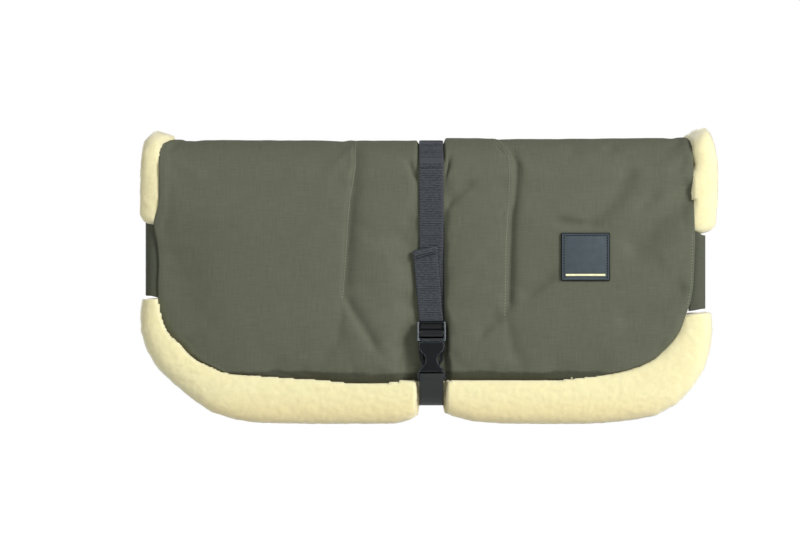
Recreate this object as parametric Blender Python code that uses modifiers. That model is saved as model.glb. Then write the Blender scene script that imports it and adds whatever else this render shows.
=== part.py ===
# Hand muff for a pushchair's handlebar: a padded cloth shell lined with sheepskin, folded over
# the bar like a saddle. A webbing strap with a side-release buckle closes it round its middle,
# and a cloth tab with two press studs closes each side. Wool rolls edge every opening.
#
# Metres. X runs along the handlebar, -Y is the front and +Z is up. The origin is on the
# handlebar's axis, midway between the two side edges of the shell.

import math

import bmesh
import bpy
from mathutils import Matrix, Vector

# Gap kept between two pieces that touch
GAP = 0.0003

# Shell: the outer cloth, as seen from the front
HALF_WIDTH = 0.268
DROP = 0.197                  # from the handlebar's axis down to the shell's hem
CORNER_WIDTH = 0.110
CORNER_HEIGHT = 0.078
CREST_CORNER = 0.014          # how far the side edges draw in at the very top
CREST_SHARPNESS = 16

# Shell: half depths, measured from the handlebar's axis to the outer cloth
CREST_RADIUS = 0.044
FULLNESS = 0.005              # the padded panels stand this much fuller than the crest
FULL_FROM = 0.036             # drop at which the panels reach their full depth
TAPER_FROM = 0.130            # drop at which they start to draw in towards the hem
HEM_TAPER = 0.003

# Layers
SHELL_CLOTH = 0.0012
WADDING = 0.004
FLEECE = 0.0125
HEM_INSET = 0.008             # wadding and fleece stop this far inside the shell's edge
HEM_ROUNDING = 0.003          # the shell's edge curls in by this much

# Valley that the strap draws into the padding
STRAP_OFFSET = 0.0045         # the strap sits this far right of the middle
STRAP_WIDTH = 0.0244
WEBBING = 0.0015
VALLEY_AT_CREST = CREST_RADIUS - 0.002
VALLEY_DEEP = VALLEY_AT_CREST - 0.006
VALLEY_FULL_FROM = 0.130
VALLEY_FLAT = 0.016           # half width of its flat floor
VALLEY_SLOPE = 0.040

# Sewn channels, one on each side of the strap
CHANNEL_X = {"left": -0.079, "right": 0.080}
CHANNEL_SINK = 0.004
CHANNEL_HALF_WIDTH = 0.013
CHANNEL_END = 0.125           # drop at which a channel has faded out

# Wool rolls
ROLL_BELOW_HEM = 0.043        # the lower rolls stand this far below the shell's hem
ROLL_DROP = DROP + ROLL_BELOW_HEM
ROLL_PROUD = 0.020            # and this far out past its side edge
ROLL_REACH = HALF_WIDTH + ROLL_PROUD
ROLL_HALF_DEPTH = 0.013
ROLL_CORNER_POWER = {"left": 1.0, "right": 0.8}
ROLL_LAG_DEG = 12.0           # turn that keeps the sections square to the edge
ARCH_PROUD = 0.018            # the handlebar rolls stand this far out past the side edge
ARCH_REACH = HALF_WIDTH + ARCH_PROUD
ARCH_FREE_FROM = 1            # arc row from which the roll lies beside the shell, not under it
ARCH_HALF_DEPTH = 0.011
ARCH_RISE = 0.0095            # and this far above the shell's crest
ARCH_TOP = CREST_RADIUS + ARCH_RISE
ROLL_END_SHARE = 0.5          # share of a roll's half depth that its end rounding takes
NOTCH_RISE = 0.018            # the strap lifts the lower rolls by this much
NOTCH_WIDTH = 0.018
NOTCH_CLEAR = 0.0012          # the narrow part of a roll reaches this far past the strap
NOTCH_FLOOR = 0.0194          # depth of wool left under the hem inside the strap's width

# Side tabs
TAB_TOP = {"left": -0.038, "right": -0.051}
TAB_HEIGHT = 0.074
TAB_CLOTH = 0.002
TAB_PROUD = 0.012             # a tab's side run lies this far out past the side edge
TAB_REACH = HALF_WIDTH + TAB_PROUD
TAB_BEND = 0.010
TAB_SEAM = 0.006              # how far its front end is sewn in behind the shell's edge
TAB_FLAP = 0.045
TAB_CLEAR = 0.0015            # gap between a tab and the wool above and below it

# Press studs on the back panel
STUD_PITCH = 0.030
STUD_FROM_FOLD = 0.034
STUD_RADIUS = 0.005
STUD_BASE = 0.0008
POST_RADIUS = 0.0022
POST_HEIGHT = 0.0031
SOCKET_HEIGHT = 0.0021
SOCKET_CLEARANCE = 0.0004
CAP_RADIUS = 0.0063
CAP_HEIGHT = 0.0020
TURNED_STEPS = 12

# Buckle, measured down from the handlebar's axis and out from it
MOUTH_ABOVE_HEM = 0.040       # the female half starts this far above the shell's hem
MOUTH_DROP = DROP - MOUTH_ABOVE_HEM
CROSSPIECE = 0.0020
BAR_RADIUS = 0.0031
WRAP_CLEARANCE = 0.00035      # between the crosspiece and the webbing round the bar
BAR_DROP = MOUTH_DROP - CROSSPIECE - WRAP_CLEARANCE - WEBBING - GAP - BAR_RADIUS
TOP_RAIL_RADIUS = 0.0013
RAIL_SLOT = 0.00475           # opening between that webbing and the top rail
TOP_RAIL_DROP = BAR_DROP - BAR_RADIUS - GAP - WEBBING - RAIL_SLOT - TOP_RAIL_RADIUS
RAIL_WIDTH = 0.0018
RAIL_CLEARANCE = 0.0003
FEMALE_DEPTH = 0.0095
BUCKLE_CLEARANCE = 0.001      # between the buckle's back and the valley's floor
BUCKLE_FRONT = VALLEY_DEEP + BUCKLE_CLEARANCE + FEMALE_DEPTH
FEMALE_LENGTH = 0.038
FEMALE_MOUTH_HALF = 0.01305
FEMALE_WAIST_HALF = 0.0062
FEMALE_FOOT_HALF = 0.01425
FEMALE_BAND = 0.0084          # length of the closed band round the mouth
FEMALE_WAIST_AT = 0.0190
FEMALE_FOOT_AT = 0.0330
FEMALE_WALL = 0.0022
FEMALE_SIDE_WALL = 0.00145
POCKET_LENGTH = 0.0270
FOOT_BAR = 0.0044
FOOT_BAR_DEPTH = 0.0053
FOOT_SLOT = 0.0032
PRONG_HALF = 0.0020
PRONG_LENGTH = 0.0210
ARM_ROOT = 0.0028             # width of an arm where it leaves the crosspiece
ARM_LENGTH = 0.0250
ARM_DEPTH = 0.0044
ARM_SIDE_CLEARANCE = 0.0012
ARM_CATCH = 0.0010            # how far the catch reaches past the band's inner wall
ARM_TIP_HALF = 0.0075

# Loose end of the strap
TAIL_LENGTH = 0.0712
TAIL_HEM = 0.006
TAIL_LEAN = 0.0065
TAIL_RAIL_GAP = 0.0016        # height of its free start above the top rail's axis
STRAP_BACK_DEG = 45.0         # how far past the crest the strap is sewn down

# Lower web
WEB_SEWN = 0.047              # length sewn to the back panel above the hem
WEB_BACK_TOP = DROP - WEB_SEWN
WEB_BELOW_HEM = 0.0245        # it folds under the muff this far below the hem
WEB_FOLD_DROP = DROP + WEB_BELOW_HEM
WEB_FOLD_HALF = 0.030

# Label
LABEL_FROM_EDGE = 0.1095      # from the shell's side edge to the label's middle
LABEL_X = HALF_WIDTH - LABEL_FROM_EDGE
LABEL_TOP = 0.0487
LABEL_WIDTH = 0.049
LABEL_HEIGHT = 0.048
LABEL_THICKNESS = 0.0016
LABEL_CORNER = 0.003
STRIPE_LENGTH = 0.040
STRIPE_HEIGHT = 0.002
STRIPE_THICKNESS = 0.0005
STRIPE_UP = 0.0058            # from the label's lower edge to the stripe's middle

# Resolution of the soft pieces
ARC_SEGMENTS = 8
CORNER_ROWS_DEG = (90.0, 64.0, 48.0, 32.0, 16.0, 0.0)
ROLL_SIDES = 12

SIDES = {"left": -1, "right": 1}
CORNER_TOP = DROP - CORNER_HEIGHT

COLOURS = {
    "shell": (0.128, 0.134, 0.095, 1),
    "wadding": (0.80, 0.80, 0.78, 1),
    "wool": (0.93, 0.80, 0.48, 1),
    "webbing": (0.062, 0.066, 0.078, 1),
    "plastic": (0.020, 0.023, 0.027, 1),
    "leather": (0.080, 0.100, 0.118, 1),
    "stripe": (0.80, 0.78, 0.42, 1),
    "tab": (0.095, 0.100, 0.078, 1),
    "metal": (0.045, 0.047, 0.050, 1),
}
ROUGHNESS = {"plastic": 0.35, "leather": 0.55, "stripe": 0.5, "metal": 0.35}
METALLIC = {"metal": 0.9}


# Scene and collections
for old in list(bpy.data.objects):
    bpy.data.objects.remove(old, do_unlink=True)

parts = bpy.data.collections.new("hand_muff")
cutters = bpy.data.collections.new("cutters")
for collection in (parts, cutters):
    bpy.context.scene.collection.children.link(collection)


# Small helpers
def ease(value):
    """Smooth step from 0 to 1."""
    value = min(max(value, 0.0), 1.0)
    return value * value * (3 - 2 * value)


def spread(start, end, count):
    """Evenly spaced values between start and end, both left out."""
    return [start + (end - start) * (i + 1) / (count + 1) for i in range(count)]


def new_material(name, finish):
    material = bpy.data.materials.new(name + "_material")
    material.use_nodes = True
    shader = material.node_tree.nodes["Principled BSDF"]
    shader.inputs["Base Color"].default_value = COLOURS[finish]
    shader.inputs["Roughness"].default_value = ROUGHNESS.get(finish, 0.9)
    shader.inputs["Metallic"].default_value = METALLIC.get(finish, 0.0)
    material.diffuse_color = COLOURS[finish]
    return material


def add_part(name, mesh, finish):
    """A named piece with its own material."""
    piece = bpy.data.objects.new(name, mesh)
    mesh.materials.clear()
    mesh.materials.append(new_material(name, finish))
    parts.objects.link(piece)
    return piece


def add_cutter(name, mesh):
    """A hidden helper for a Boolean."""
    cutter = bpy.data.objects.new(name, mesh)
    cutters.objects.link(cutter)
    cutter.hide_render = True
    cutter.display_type = "WIRE"
    return cutter


def mesh_from(bm, name):
    mesh = bpy.data.meshes.new(name)
    bm.normal_update()
    bm.to_mesh(mesh)
    bm.free()
    return mesh


def box_mesh(name, low, high):
    """A box between two corners."""
    low = Vector(low)
    high = Vector(high)
    bm = bmesh.new()
    bmesh.ops.create_cube(bm, size=1.0)
    size = high - low
    bmesh.ops.scale(bm, vec=size, verts=bm.verts)
    bmesh.ops.translate(bm, vec=(low + high) / 2, verts=bm.verts)
    return mesh_from(bm, name)


def rod_mesh(name, centre, radius, length, sides=16):
    """A cylinder along X."""
    bm = bmesh.new()
    turn = Matrix.Translation(Vector(centre)) @ Matrix.Rotation(math.pi / 2, 4, "Y")
    bmesh.ops.create_cone(
        bm, cap_ends=True, segments=sides, radius1=radius, radius2=radius,
        depth=length, matrix=turn)
    return mesh_from(bm, name)


def plate_mesh(name, outline, thickness, y_middle):
    """A flat outline in X and Z, thickened along Y."""
    curve = bpy.data.curves.new(name, "CURVE")
    curve.dimensions = "2D"
    curve.fill_mode = "BOTH"
    curve.extrude = thickness / 2
    spline = curve.splines.new("POLY")
    spline.points.add(len(outline) - 1)
    for point, (x, z) in zip(spline.points, outline):
        point.co = (x, z, 0, 1)
    spline.use_cyclic_u = True
    stand_in = bpy.data.objects.new(name, curve)
    cutters.objects.link(stand_in)
    stand_in.rotation_euler = (math.pi / 2, 0, 0)
    stand_in.location = (0, y_middle, 0)
    bpy.context.view_layer.update()
    graph = bpy.context.evaluated_depsgraph_get()
    mesh = bpy.data.meshes.new_from_object(stand_in.evaluated_get(graph))
    mesh.transform(stand_in.matrix_world)
    bpy.data.objects.remove(stand_in, do_unlink=True)
    bm = bmesh.new()
    bm.from_mesh(mesh)
    bmesh.ops.remove_doubles(bm, verts=bm.verts, dist=0.000001)
    bmesh.ops.recalc_face_normals(bm, faces=bm.faces)
    bm.to_mesh(mesh)
    bm.free()
    return mesh


def bevel(piece, width, segments=1):
    modifier = piece.modifiers.new("Bevel", "BEVEL")
    modifier.width = width
    modifier.segments = segments
    modifier.limit_method = "ANGLE"
    modifier.angle_limit = math.radians(40)


def boolean(piece, other, operation):
    modifier = piece.modifiers.new("Boolean", "BOOLEAN")
    modifier.operation = operation
    modifier.object = other


def solidify(piece, thickness, offset):
    modifier = piece.modifiers.new("Solidify", "SOLIDIFY")
    modifier.thickness = thickness
    modifier.offset = offset


def layer_offset(outer, thickness):
    """Solidify offset that puts a layer's outer face this far inside the open surface."""
    return -2 * outer / thickness - 1


def move_origin(piece, origin):
    """Put the piece's origin on its joint's axis and leave its shape where it is."""
    origin = Vector(origin)
    piece.data.transform(Matrix.Translation(-origin))
    piece.location = origin


def ribbon(name, path, half_width, thickness, finish, across=(1, 0, 0)):
    """A band of webbing or cloth that follows a path, with its width along one direction."""
    across = Vector(across).normalized()
    bm = bmesh.new()
    bmesh.ops.create_grid(bm, x_segments=1, y_segments=len(path) - 1, size=1.0)
    bm.verts.ensure_lookup_table()
    for row, point in enumerate(path):
        for column, share in enumerate((-1, 1)):
            bm.verts[2 * row + column].co = Vector(point) + across * (half_width * share)
    piece = add_part(name, mesh_from(bm, name), finish)
    solidify(piece, thickness, 0.0)
    return piece


def turned(name, profile, place, finish, closed=False):
    """A round piece: a profile of radius and height, turned about an axis along +Y."""
    bm = bmesh.new()
    verts = [bm.verts.new((radius, 0, height)) for radius, height in profile]
    for first, second in zip(verts, verts[1:]):
        bm.edges.new((first, second))
    if closed:
        bm.edges.new((verts[-1], verts[0]))
    piece = add_part(name, mesh_from(bm, name), finish)
    screw = piece.modifiers.new("Screw", "SCREW")
    screw.axis = "Z"
    screw.angle = 2 * math.pi
    screw.steps = TURNED_STEPS
    screw.render_steps = TURNED_STEPS
    screw.use_merge_vertices = True
    screw.merge_threshold = 0.00001
    screw.use_smooth_shade = True
    piece.rotation_euler = (-math.pi / 2, 0, 0)
    piece.location = place
    return piece


# Rows and columns of the saddle that every soft layer follows
def panel_depth(drop):
    """Half depth of the padded panels at a drop below the handlebar's axis."""
    fuller = FULLNESS * ease(drop / FULL_FROM)
    taper = HEM_TAPER * ease((drop - TAPER_FROM) / (DROP - TAPER_FROM))
    return CREST_RADIUS + fuller - taper


def valley_depth(drop):
    """Half depth under the strap."""
    return VALLEY_AT_CREST - (VALLEY_AT_CREST - VALLEY_DEEP) * ease(drop / VALLEY_FULL_FROM)


def edge_distance(drop, inset):
    """Distance of the side edge from the middle, at a drop below the axis."""
    below = drop - CORNER_TOP
    if below <= 0:
        return HALF_WIDTH - inset
    width = CORNER_WIDTH - inset
    height = CORNER_HEIGHT - inset
    share = min(below / height, 1.0)
    return HALF_WIDTH - CORNER_WIDTH + width * math.sqrt(1 - share * share)


def leg_drops():
    """Drops of the rows of one leg, from the hem up to the axis."""
    corner = [CORNER_TOP + CORNER_HEIGHT * math.sin(math.radians(a)) for a in CORNER_ROWS_DEG]
    corner[1] = DROP - HEM_INSET
    upper = [(CORNER_TOP + FULL_FROM) / 2, FULL_FROM, FULL_FROM / 2, 0.0]
    return corner + upper


def saddle_rows(inset):
    """Rows from the front hem over the crest to the back hem."""
    leg = []
    for drop in leg_drops():
        hem = HEM_ROUNDING if drop == max(leg_drops()) else 0.0
        if inset > 0 and hem > 0:
            continue
        leg.append({
            "drop": drop, "edge": edge_distance(drop, inset),
            "panel": panel_depth(drop) - hem, "valley": valley_depth(drop)})
    rows = [dict(row, y=-1.0, z=0.0) for row in leg]
    for step in range(1, ARC_SEGMENTS):
        angle = math.pi * step / ARC_SEGMENTS
        rows.append({
            "drop": 0.0, "edge": HALF_WIDTH - inset - crest_draw_in(angle),
            "panel": CREST_RADIUS, "valley": VALLEY_AT_CREST,
            "y": -math.cos(angle), "z": math.sin(angle)})
    rows += [dict(row, y=1.0, z=0.0) for row in reversed(leg)]
    return rows


def saddle_columns(inset):
    """Places of the columns across a full-width row."""
    columns = []
    for side, sign in SIDES.items():
        seam = CHANNEL_X[side]
        outer = seam + sign * CHANNEL_HALF_WIDTH
        edge = sign * (HALF_WIDTH - HEM_INSET)
        behind_studs = edge - sign * TAB_FLAP * 0.8
        columns += [edge, behind_studs, outer, seam, seam - sign * CHANNEL_HALF_WIDTH]
        columns += spread(outer, behind_studs, 2)
        if inset == 0:
            columns.append(sign * HALF_WIDTH)
        for share in (0.0, 0.45, 1.0):
            columns.append(STRAP_OFFSET + sign * (VALLEY_FLAT + VALLEY_SLOPE * share))
    return sorted(columns)


def outer_depth(x, row):
    """Half depth of the outer cloth at a point of a row."""
    depth = row["panel"]
    for seam in CHANNEL_X.values():
        near = ease(1 - abs(x - seam) / CHANNEL_HALF_WIDTH)
        fade = ease((CHANNEL_END - row["drop"]) / (CHANNEL_END - FULL_FROM))
        depth -= CHANNEL_SINK * near * fade
    if abs(x) > row["edge"] - HEM_INSET / 2 and row["rounded"]:
        depth -= HEM_ROUNDING
    pinch = ease(1 - (abs(x - STRAP_OFFSET) - VALLEY_FLAT) / VALLEY_SLOPE)
    return depth + (row["valley"] - depth) * pinch


def saddle_mesh(name, inset):
    """The open surface of the outer cloth, or a smaller one under it."""
    rows = saddle_rows(inset)
    columns = saddle_columns(inset)
    full_edge = HALF_WIDTH - inset
    bm = bmesh.new()
    bmesh.ops.create_grid(
        bm, x_segments=len(columns) - 1, y_segments=len(rows) - 1, size=1.0)
    bm.verts.ensure_lookup_table()
    index = 0
    for row in rows:
        row["rounded"] = inset == 0
        for place in columns:
            sign = math.copysign(1, place)
            inner = abs(CHANNEL_X["left" if sign < 0 else "right"]) + CHANNEL_HALF_WIDTH
            x = place
            if abs(place) > inner:
                share = (abs(place) - inner) / (full_edge - inner)
                x = sign * (inner + share * (row["edge"] - inner))
            depth = outer_depth(x, row)
            bm.verts[index].co = (x, row["y"] * depth, row["z"] * depth - row["drop"])
            index += 1
    return mesh_from(bm, name)


# Soft layers
def make_layers():
    shell = add_part("outer_shell", saddle_mesh("outer_shell", 0.0), "shell")
    solidify(shell, SHELL_CLOTH, layer_offset(0.0, SHELL_CLOTH))
    shell.data.shade_smooth()
    wadding = add_part("wadding", saddle_mesh("wadding", HEM_INSET), "wadding")
    solidify(wadding, WADDING, layer_offset(SHELL_CLOTH + GAP, WADDING))
    lining = add_part(
        "sheepskin_lining", saddle_mesh("sheepskin_lining", HEM_INSET), "wool")
    solidify(lining, FLEECE, layer_offset(SHELL_CLOTH + WADDING + 2 * GAP, FLEECE))
    lining.data.shade_smooth()


# Wool rolls
def rounded_end(station, towards):
    """Sections that close a roll's end, from its tip inwards."""
    centre, wide, deep = station
    way = (centre - towards[0]).normalized()
    reach = min(wide.length, deep.length) * ROLL_END_SHARE
    shapes = ((0.0, 0.45), (0.4, 0.82), (1.0, 1.0))
    return [(centre - way * reach * back, wide * size, deep * size) for back, size in shapes]


def wool_roll(name, stations):
    """A loft through oval sections with rounded ends. A station is a centre and two half axes."""
    sections = rounded_end(stations[0], stations[1])
    sections += stations[1:-1]
    sections += reversed(rounded_end(stations[-1], stations[-2]))
    bm = bmesh.new()
    loops = []
    for centre, wide, deep in sections:
        loop = []
        for step in range(ROLL_SIDES):
            angle = 2 * math.pi * step / ROLL_SIDES
            loop.append(bm.verts.new(centre + wide * math.cos(angle) + deep * math.sin(angle)))
        loops.append(loop)
    for before, after in zip(loops, loops[1:]):
        for i in range(ROLL_SIDES):
            j = (i + 1) % ROLL_SIDES
            bm.faces.new((before[i], before[j], after[j], after[i]))
    bm.faces.new(loops[0])
    bm.faces.new(loops[-1])
    bmesh.ops.recalc_face_normals(bm, faces=bm.faces)
    piece = add_part(name, mesh_from(bm, name), "wool")
    piece.data.shade_smooth()
    return piece


def roll_outer(turn, sign):
    """Outermost point of a lower roll on the corner, in X and Z."""
    base = HALF_WIDTH - CORNER_WIDTH
    lag = turn - math.radians(ROLL_LAG_DEG) * math.sin(2 * turn)
    power = ROLL_CORNER_POWER["left" if sign < 0 else "right"]
    wide = (ROLL_REACH - base) * max(math.cos(lag), 0.0) ** power
    tall = (ROLL_DROP - CORNER_TOP) * math.sin(lag) ** power
    return base + wide, -CORNER_TOP - tall


def corner_knots():
    """Corners of the lining's edge, each with its turn round the shell's corner."""
    height = CORNER_HEIGHT - HEM_INSET
    knots = []
    for row in saddle_rows(HEM_INSET):
        below = row["drop"] - CORNER_TOP
        if row["y"] < 0 and row["z"] == 0 and below >= 0:
            turn = math.asin(min(below / height, 1.0))
            knots.append((turn, row["edge"], -row["drop"]))
    return sorted(knots)


def corner_sections(first_turn, sign):
    """Inner and outer points of the roll's sections on the corner."""
    sections = []
    knots = corner_knots()
    for before, after in zip(knots, knots[1:]):
        count = 3 if after is knots[-1] else 2
        for step in range(count):
            share = step / count
            turn, x, z = (a + (b - a) * share for a, b in zip(before, after))
            if turn >= first_turn:
                away = (GAP * math.cos(turn), -GAP * math.sin(turn))
                sections.append(((x + away[0], z + away[1]), roll_outer(turn, sign)))
    turn, x, z = knots[-1]
    sections.append(((x, z - GAP), roll_outer(turn, sign)))
    return sections


def roll_station(inner, outer, sign, face):
    """A section between an inner and an outer point, on the front or the back panel."""
    start = Vector((sign * inner[0], 0, inner[1]))
    end = Vector((sign * outer[0], 0, outer[1]))
    row = {
        "panel": panel_depth(min(-inner[1], DROP)) - HEM_ROUNDING,
        "valley": valley_depth(min(-inner[1], DROP)),
        "drop": DROP, "edge": HALF_WIDTH, "rounded": False}
    cloth = outer_depth(start.x, row)
    y = face * (cloth - SHELL_CLOTH - GAP - ROLL_HALF_DEPTH)
    middle = (start + end) / 2
    middle.y = y
    return middle, (end - start) / 2, Vector((0, face * ROLL_HALF_DEPTH, 0))


def lower_roll(side, face_name, face):
    sign = SIDES[side]
    top = TAB_TOP[side] - TAB_HEIGHT - TAB_CLEAR
    stations = []
    reach = HALF_WIDTH - HEM_INSET + GAP
    if top > -CORNER_TOP + TAB_CLEAR:
        stations.append(roll_station((reach, top), (ROLL_REACH, top), sign, face))
    below = max(-CORNER_TOP - top, 0.0)
    first_turn = math.asin(min(below / (CORNER_HEIGHT - HEM_INSET), 1.0))
    for inner, outer in corner_sections(first_turn, sign):
        stations.append(roll_station(inner, outer, sign, face))
    level = -(DROP - HEM_INSET + GAP)
    base = HALF_WIDTH - CORNER_WIDTH
    half = STRAP_WIDTH / 2 + NOTCH_CLEAR
    places = [base - (base - half) * share for share in (0.35, 0.65, 0.85)]
    for away in places + [half * 1.5, half, GAP * 2]:
        x = sign * STRAP_OFFSET + away
        lower = -ROLL_DROP + NOTCH_RISE * math.exp(-away / NOTCH_WIDTH)
        if away <= half:
            lower = -DROP - NOTCH_FLOOR
        stations.append(roll_station((x, level), (x, lower), sign, face))
    wool_roll(f"{face_name}_{side}_lower_wool", stations)


def crest_draw_in(angle):
    """How far the shell's side edge draws in over the handlebar, by angle from the front."""
    return CREST_CORNER * math.sin(angle) ** CREST_SHARPNESS


def arch_roll(side):
    """The roll over the handlebar, from the tab's front end to its back end."""
    sign = SIDES[side]
    end = TAB_TOP[side] + TAB_CLEAR
    leg_radius = panel_depth(0.0) - HEM_ROUNDING - SHELL_CLOTH - GAP - ARCH_HALF_DEPTH
    top_radius = ARCH_TOP - ARCH_HALF_DEPTH
    tucked = HALF_WIDTH - HEM_INSET + GAP

    def section(inner, radius, angle, drop):
        half = (ARCH_REACH - inner) / 2
        way = Vector((0, -math.cos(angle), math.sin(angle)))
        centre = way * radius + Vector((sign * (inner + half), 0, drop))
        return centre, Vector((half, 0, 0)), way * ARCH_HALF_DEPTH

    def inner_edge(step):
        angle = math.pi * step / ARC_SEGMENTS
        if min(step, ARC_SEGMENTS - step) < ARCH_FREE_FROM:
            return tucked
        return HALF_WIDTH - crest_draw_in(angle) + GAP

    stations = [section(tucked, leg_radius, 0.0, drop) for drop in (end, end / 2)]
    free_from = math.sin(math.pi * ARCH_FREE_FROM / ARC_SEGMENTS)
    for half_step in range(2 * ARC_SEGMENTS + 1):
        angle = math.pi * half_step / (2 * ARC_SEGMENTS)
        rise = ease((math.sin(angle) - free_from) / (1 - free_from))
        radius = leg_radius + (top_radius - leg_radius) * rise
        before, after = half_step // 2, (half_step + 1) // 2
        inner = (inner_edge(before) + inner_edge(after)) / 2
        stations.append(section(inner, radius, angle, 0.0))
    stations += [section(tucked, leg_radius, math.pi, drop) for drop in (end / 2, end)]
    wool_roll(f"{side}_handlebar_wool", stations)


# Side tabs with press studs
def flap_inner_face():
    """Distance from the middle plane to the inner face of a closed tab's flap."""
    cloth = panel_depth(FULL_FROM)
    return cloth + 3 * GAP + STUD_BASE + SOCKET_HEIGHT


def side_tab(side):
    sign = SIDES[side]
    middle = TAB_TOP[side] - TAB_HEIGHT / 2
    front = panel_depth(FULL_FROM) - HEM_ROUNDING - SHELL_CLOTH - GAP - TAB_CLOTH / 2
    inner_face = flap_inner_face()
    path = [(sign * (HALF_WIDTH - TAB_SEAM), -front, middle)]
    for step in range(5):
        angle = math.pi / 2 * step / 4
        x = TAB_REACH - TAB_BEND + TAB_BEND * math.sin(angle)
        y = -front + TAB_BEND - TAB_BEND * math.cos(angle)
        path.append((sign * x, y, middle))
    path.append((sign * TAB_REACH, inner_face - GAP, middle))
    ribbon(f"{side}_tab", path, TAB_HEIGHT / 2, TAB_CLOTH, "tab", across=(0, 0, 1))

    hinge = Vector((sign * (TAB_REACH + TAB_CLOTH / 2), inner_face + TAB_CLOTH, middle))
    joint = bpy.data.objects.new(f"{side}_tab_hinge", None)
    joint.location = hinge
    parts.objects.link(joint)
    end_x = TAB_REACH + TAB_CLOTH / 2 - TAB_FLAP
    flap_mesh = rounded_flap(f"{side}_tab_flap", sign, hinge.x, sign * end_x, middle, inner_face)
    flap = add_part(f"{side}_tab_flap", flap_mesh, "tab")
    moving = [flap]
    for row, rise in (("upper", STUD_PITCH / 2), ("lower", -STUD_PITCH / 2)):
        x = hinge.x - sign * STUD_FROM_FOLD
        z = middle + rise
        cloth = panel_depth(FULL_FROM)
        turned(
            f"{side}_{row}_stud",
            [(0, POST_HEIGHT), (0.7 * POST_RADIUS, POST_HEIGHT),
             (POST_RADIUS, 0.85 * POST_HEIGHT), (0.82 * POST_RADIUS, 0.5 * POST_HEIGHT),
             (0.82 * POST_RADIUS, STUD_BASE), (STUD_RADIUS, STUD_BASE),
             (STUD_RADIUS, 0), (0, 0)],
            (x, cloth + GAP, z), "metal")
        bore = POST_RADIUS + SOCKET_CLEARANCE
        socket = turned(
            f"{side}_{row}_socket",
            [(0.92 * STUD_RADIUS, SOCKET_HEIGHT), (STUD_RADIUS, 0.85 * SOCKET_HEIGHT),
             (STUD_RADIUS, 0.1 * SOCKET_HEIGHT), (0.94 * STUD_RADIUS, 0),
             (bore + 0.0003, 0), (bore, 0.15 * SOCKET_HEIGHT), (bore, SOCKET_HEIGHT)],
            (x, inner_face - GAP - SOCKET_HEIGHT, z), "metal", closed=True)
        cap = turned(
            f"{side}_{row}_cap",
            [(0, CAP_HEIGHT), (0.4 * CAP_RADIUS, 0.93 * CAP_HEIGHT),
             (0.73 * CAP_RADIUS, 0.66 * CAP_HEIGHT), (0.95 * CAP_RADIUS, 0.26 * CAP_HEIGHT),
             (CAP_RADIUS, 0), (0, 0)],
            (x, inner_face + TAB_CLOTH + GAP, z), "metal")
        moving += [socket, cap]
    for piece in moving:
        piece.parent = joint
        piece.location = piece.location - hinge


def rounded_flap(name, sign, fold_x, end_x, middle, inner_face):
    """The loose end of a tab, square at the fold and rounded at its tip."""
    radius = TAB_FLAP / 4
    half = TAB_HEIGHT / 2
    outline = [(fold_x, middle - half)]
    for centre_z, start in ((middle - half + radius, -90), (middle + half - radius, 0)):
        for step in range(4):
            angle = math.radians(start + 30 * step)
            x = end_x + sign * (radius - radius * math.cos(angle))
            outline.append((x, centre_z + radius * math.sin(angle)))
    outline.append((fold_x, middle + half))
    return plate_mesh(name, outline, TAB_CLOTH, inner_face + TAB_CLOTH / 2)


# Strap, buckle and lower web
def strap_rows():
    """Points of the upper strap's centre line from its sewn end down to the buckle."""
    lift = GAP + WEBBING / 2
    points = []
    step_deg = 180 / ARC_SEGMENTS
    count = round(STRAP_BACK_DEG / step_deg)
    for step in range(count, -ARC_SEGMENTS // 2, -1):
        angle = math.radians(90 + step_deg * step)
        radius = VALLEY_AT_CREST + lift
        points.append((-math.cos(angle) * radius, math.sin(angle) * radius))
    for drop in sorted(leg_drops()):
        if drop < BAR_DROP - BAR_RADIUS * 2:
            points.append((-(valley_depth(drop) + lift), -drop))
    return points


def bar_axis():
    """Y and Z of the adjusting bar, so that the strap drops straight onto its wrap."""
    return -(VALLEY_DEEP + 2 * GAP + WEBBING + GAP + BAR_RADIUS), -BAR_DROP


def rail_axis():
    """Y and Z of the top rail: two layers of webbing pass behind it."""
    return -(VALLEY_DEEP + 3 * GAP + 2 * WEBBING + TOP_RAIL_RADIUS), -TOP_RAIL_DROP


def upper_strap():
    """Down the front, round the adjusting bar and back up behind the top rail."""
    bar_y, bar_z = bar_axis()
    wrap = BAR_RADIUS + GAP + WEBBING / 2
    points = strap_rows()
    for step in range(11):
        angle = math.radians(-30 * step)
        points.append((bar_y + wrap * math.cos(angle), bar_z + wrap * math.sin(angle)))
    second_layer = -(VALLEY_DEEP + 2 * GAP + WEBBING * 1.5)
    end = -TOP_RAIL_DROP + TAIL_RAIL_GAP - 2 * GAP
    points[-1] = (second_layer, bar_z + wrap + 3 * GAP)
    points.append((second_layer, end))
    path = [(STRAP_OFFSET, y, z) for y, z in points]
    ribbon("upper_strap", path, STRAP_WIDTH / 2, WEBBING, "webbing")


def strap_tail():
    """The loose end, lying on the strap, with its tip folded over and sewn."""
    start = -TOP_RAIL_DROP + TAIL_RAIL_GAP
    lift = 2 * GAP + WEBBING * 1.5
    points = []
    tip = start + TAIL_LENGTH
    drops = [-start] + [d for d in leg_drops() if -tip < d < -start] + [-tip]
    for drop in drops:
        points.append((-(valley_depth(drop) + lift), -drop))
    fold = WEBBING + GAP
    points.append((points[-1][0] - fold, tip))
    points.append((points[-1][0], tip - TAIL_HEM))
    path = [(STRAP_OFFSET - TAIL_LEAN * (z - start) / TAIL_LENGTH, y, z) for y, z in points]
    tail = ribbon("strap_tail", path, STRAP_WIDTH / 2, WEBBING, "webbing")
    move_origin(tail, (STRAP_OFFSET, *rail_axis()))


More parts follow.
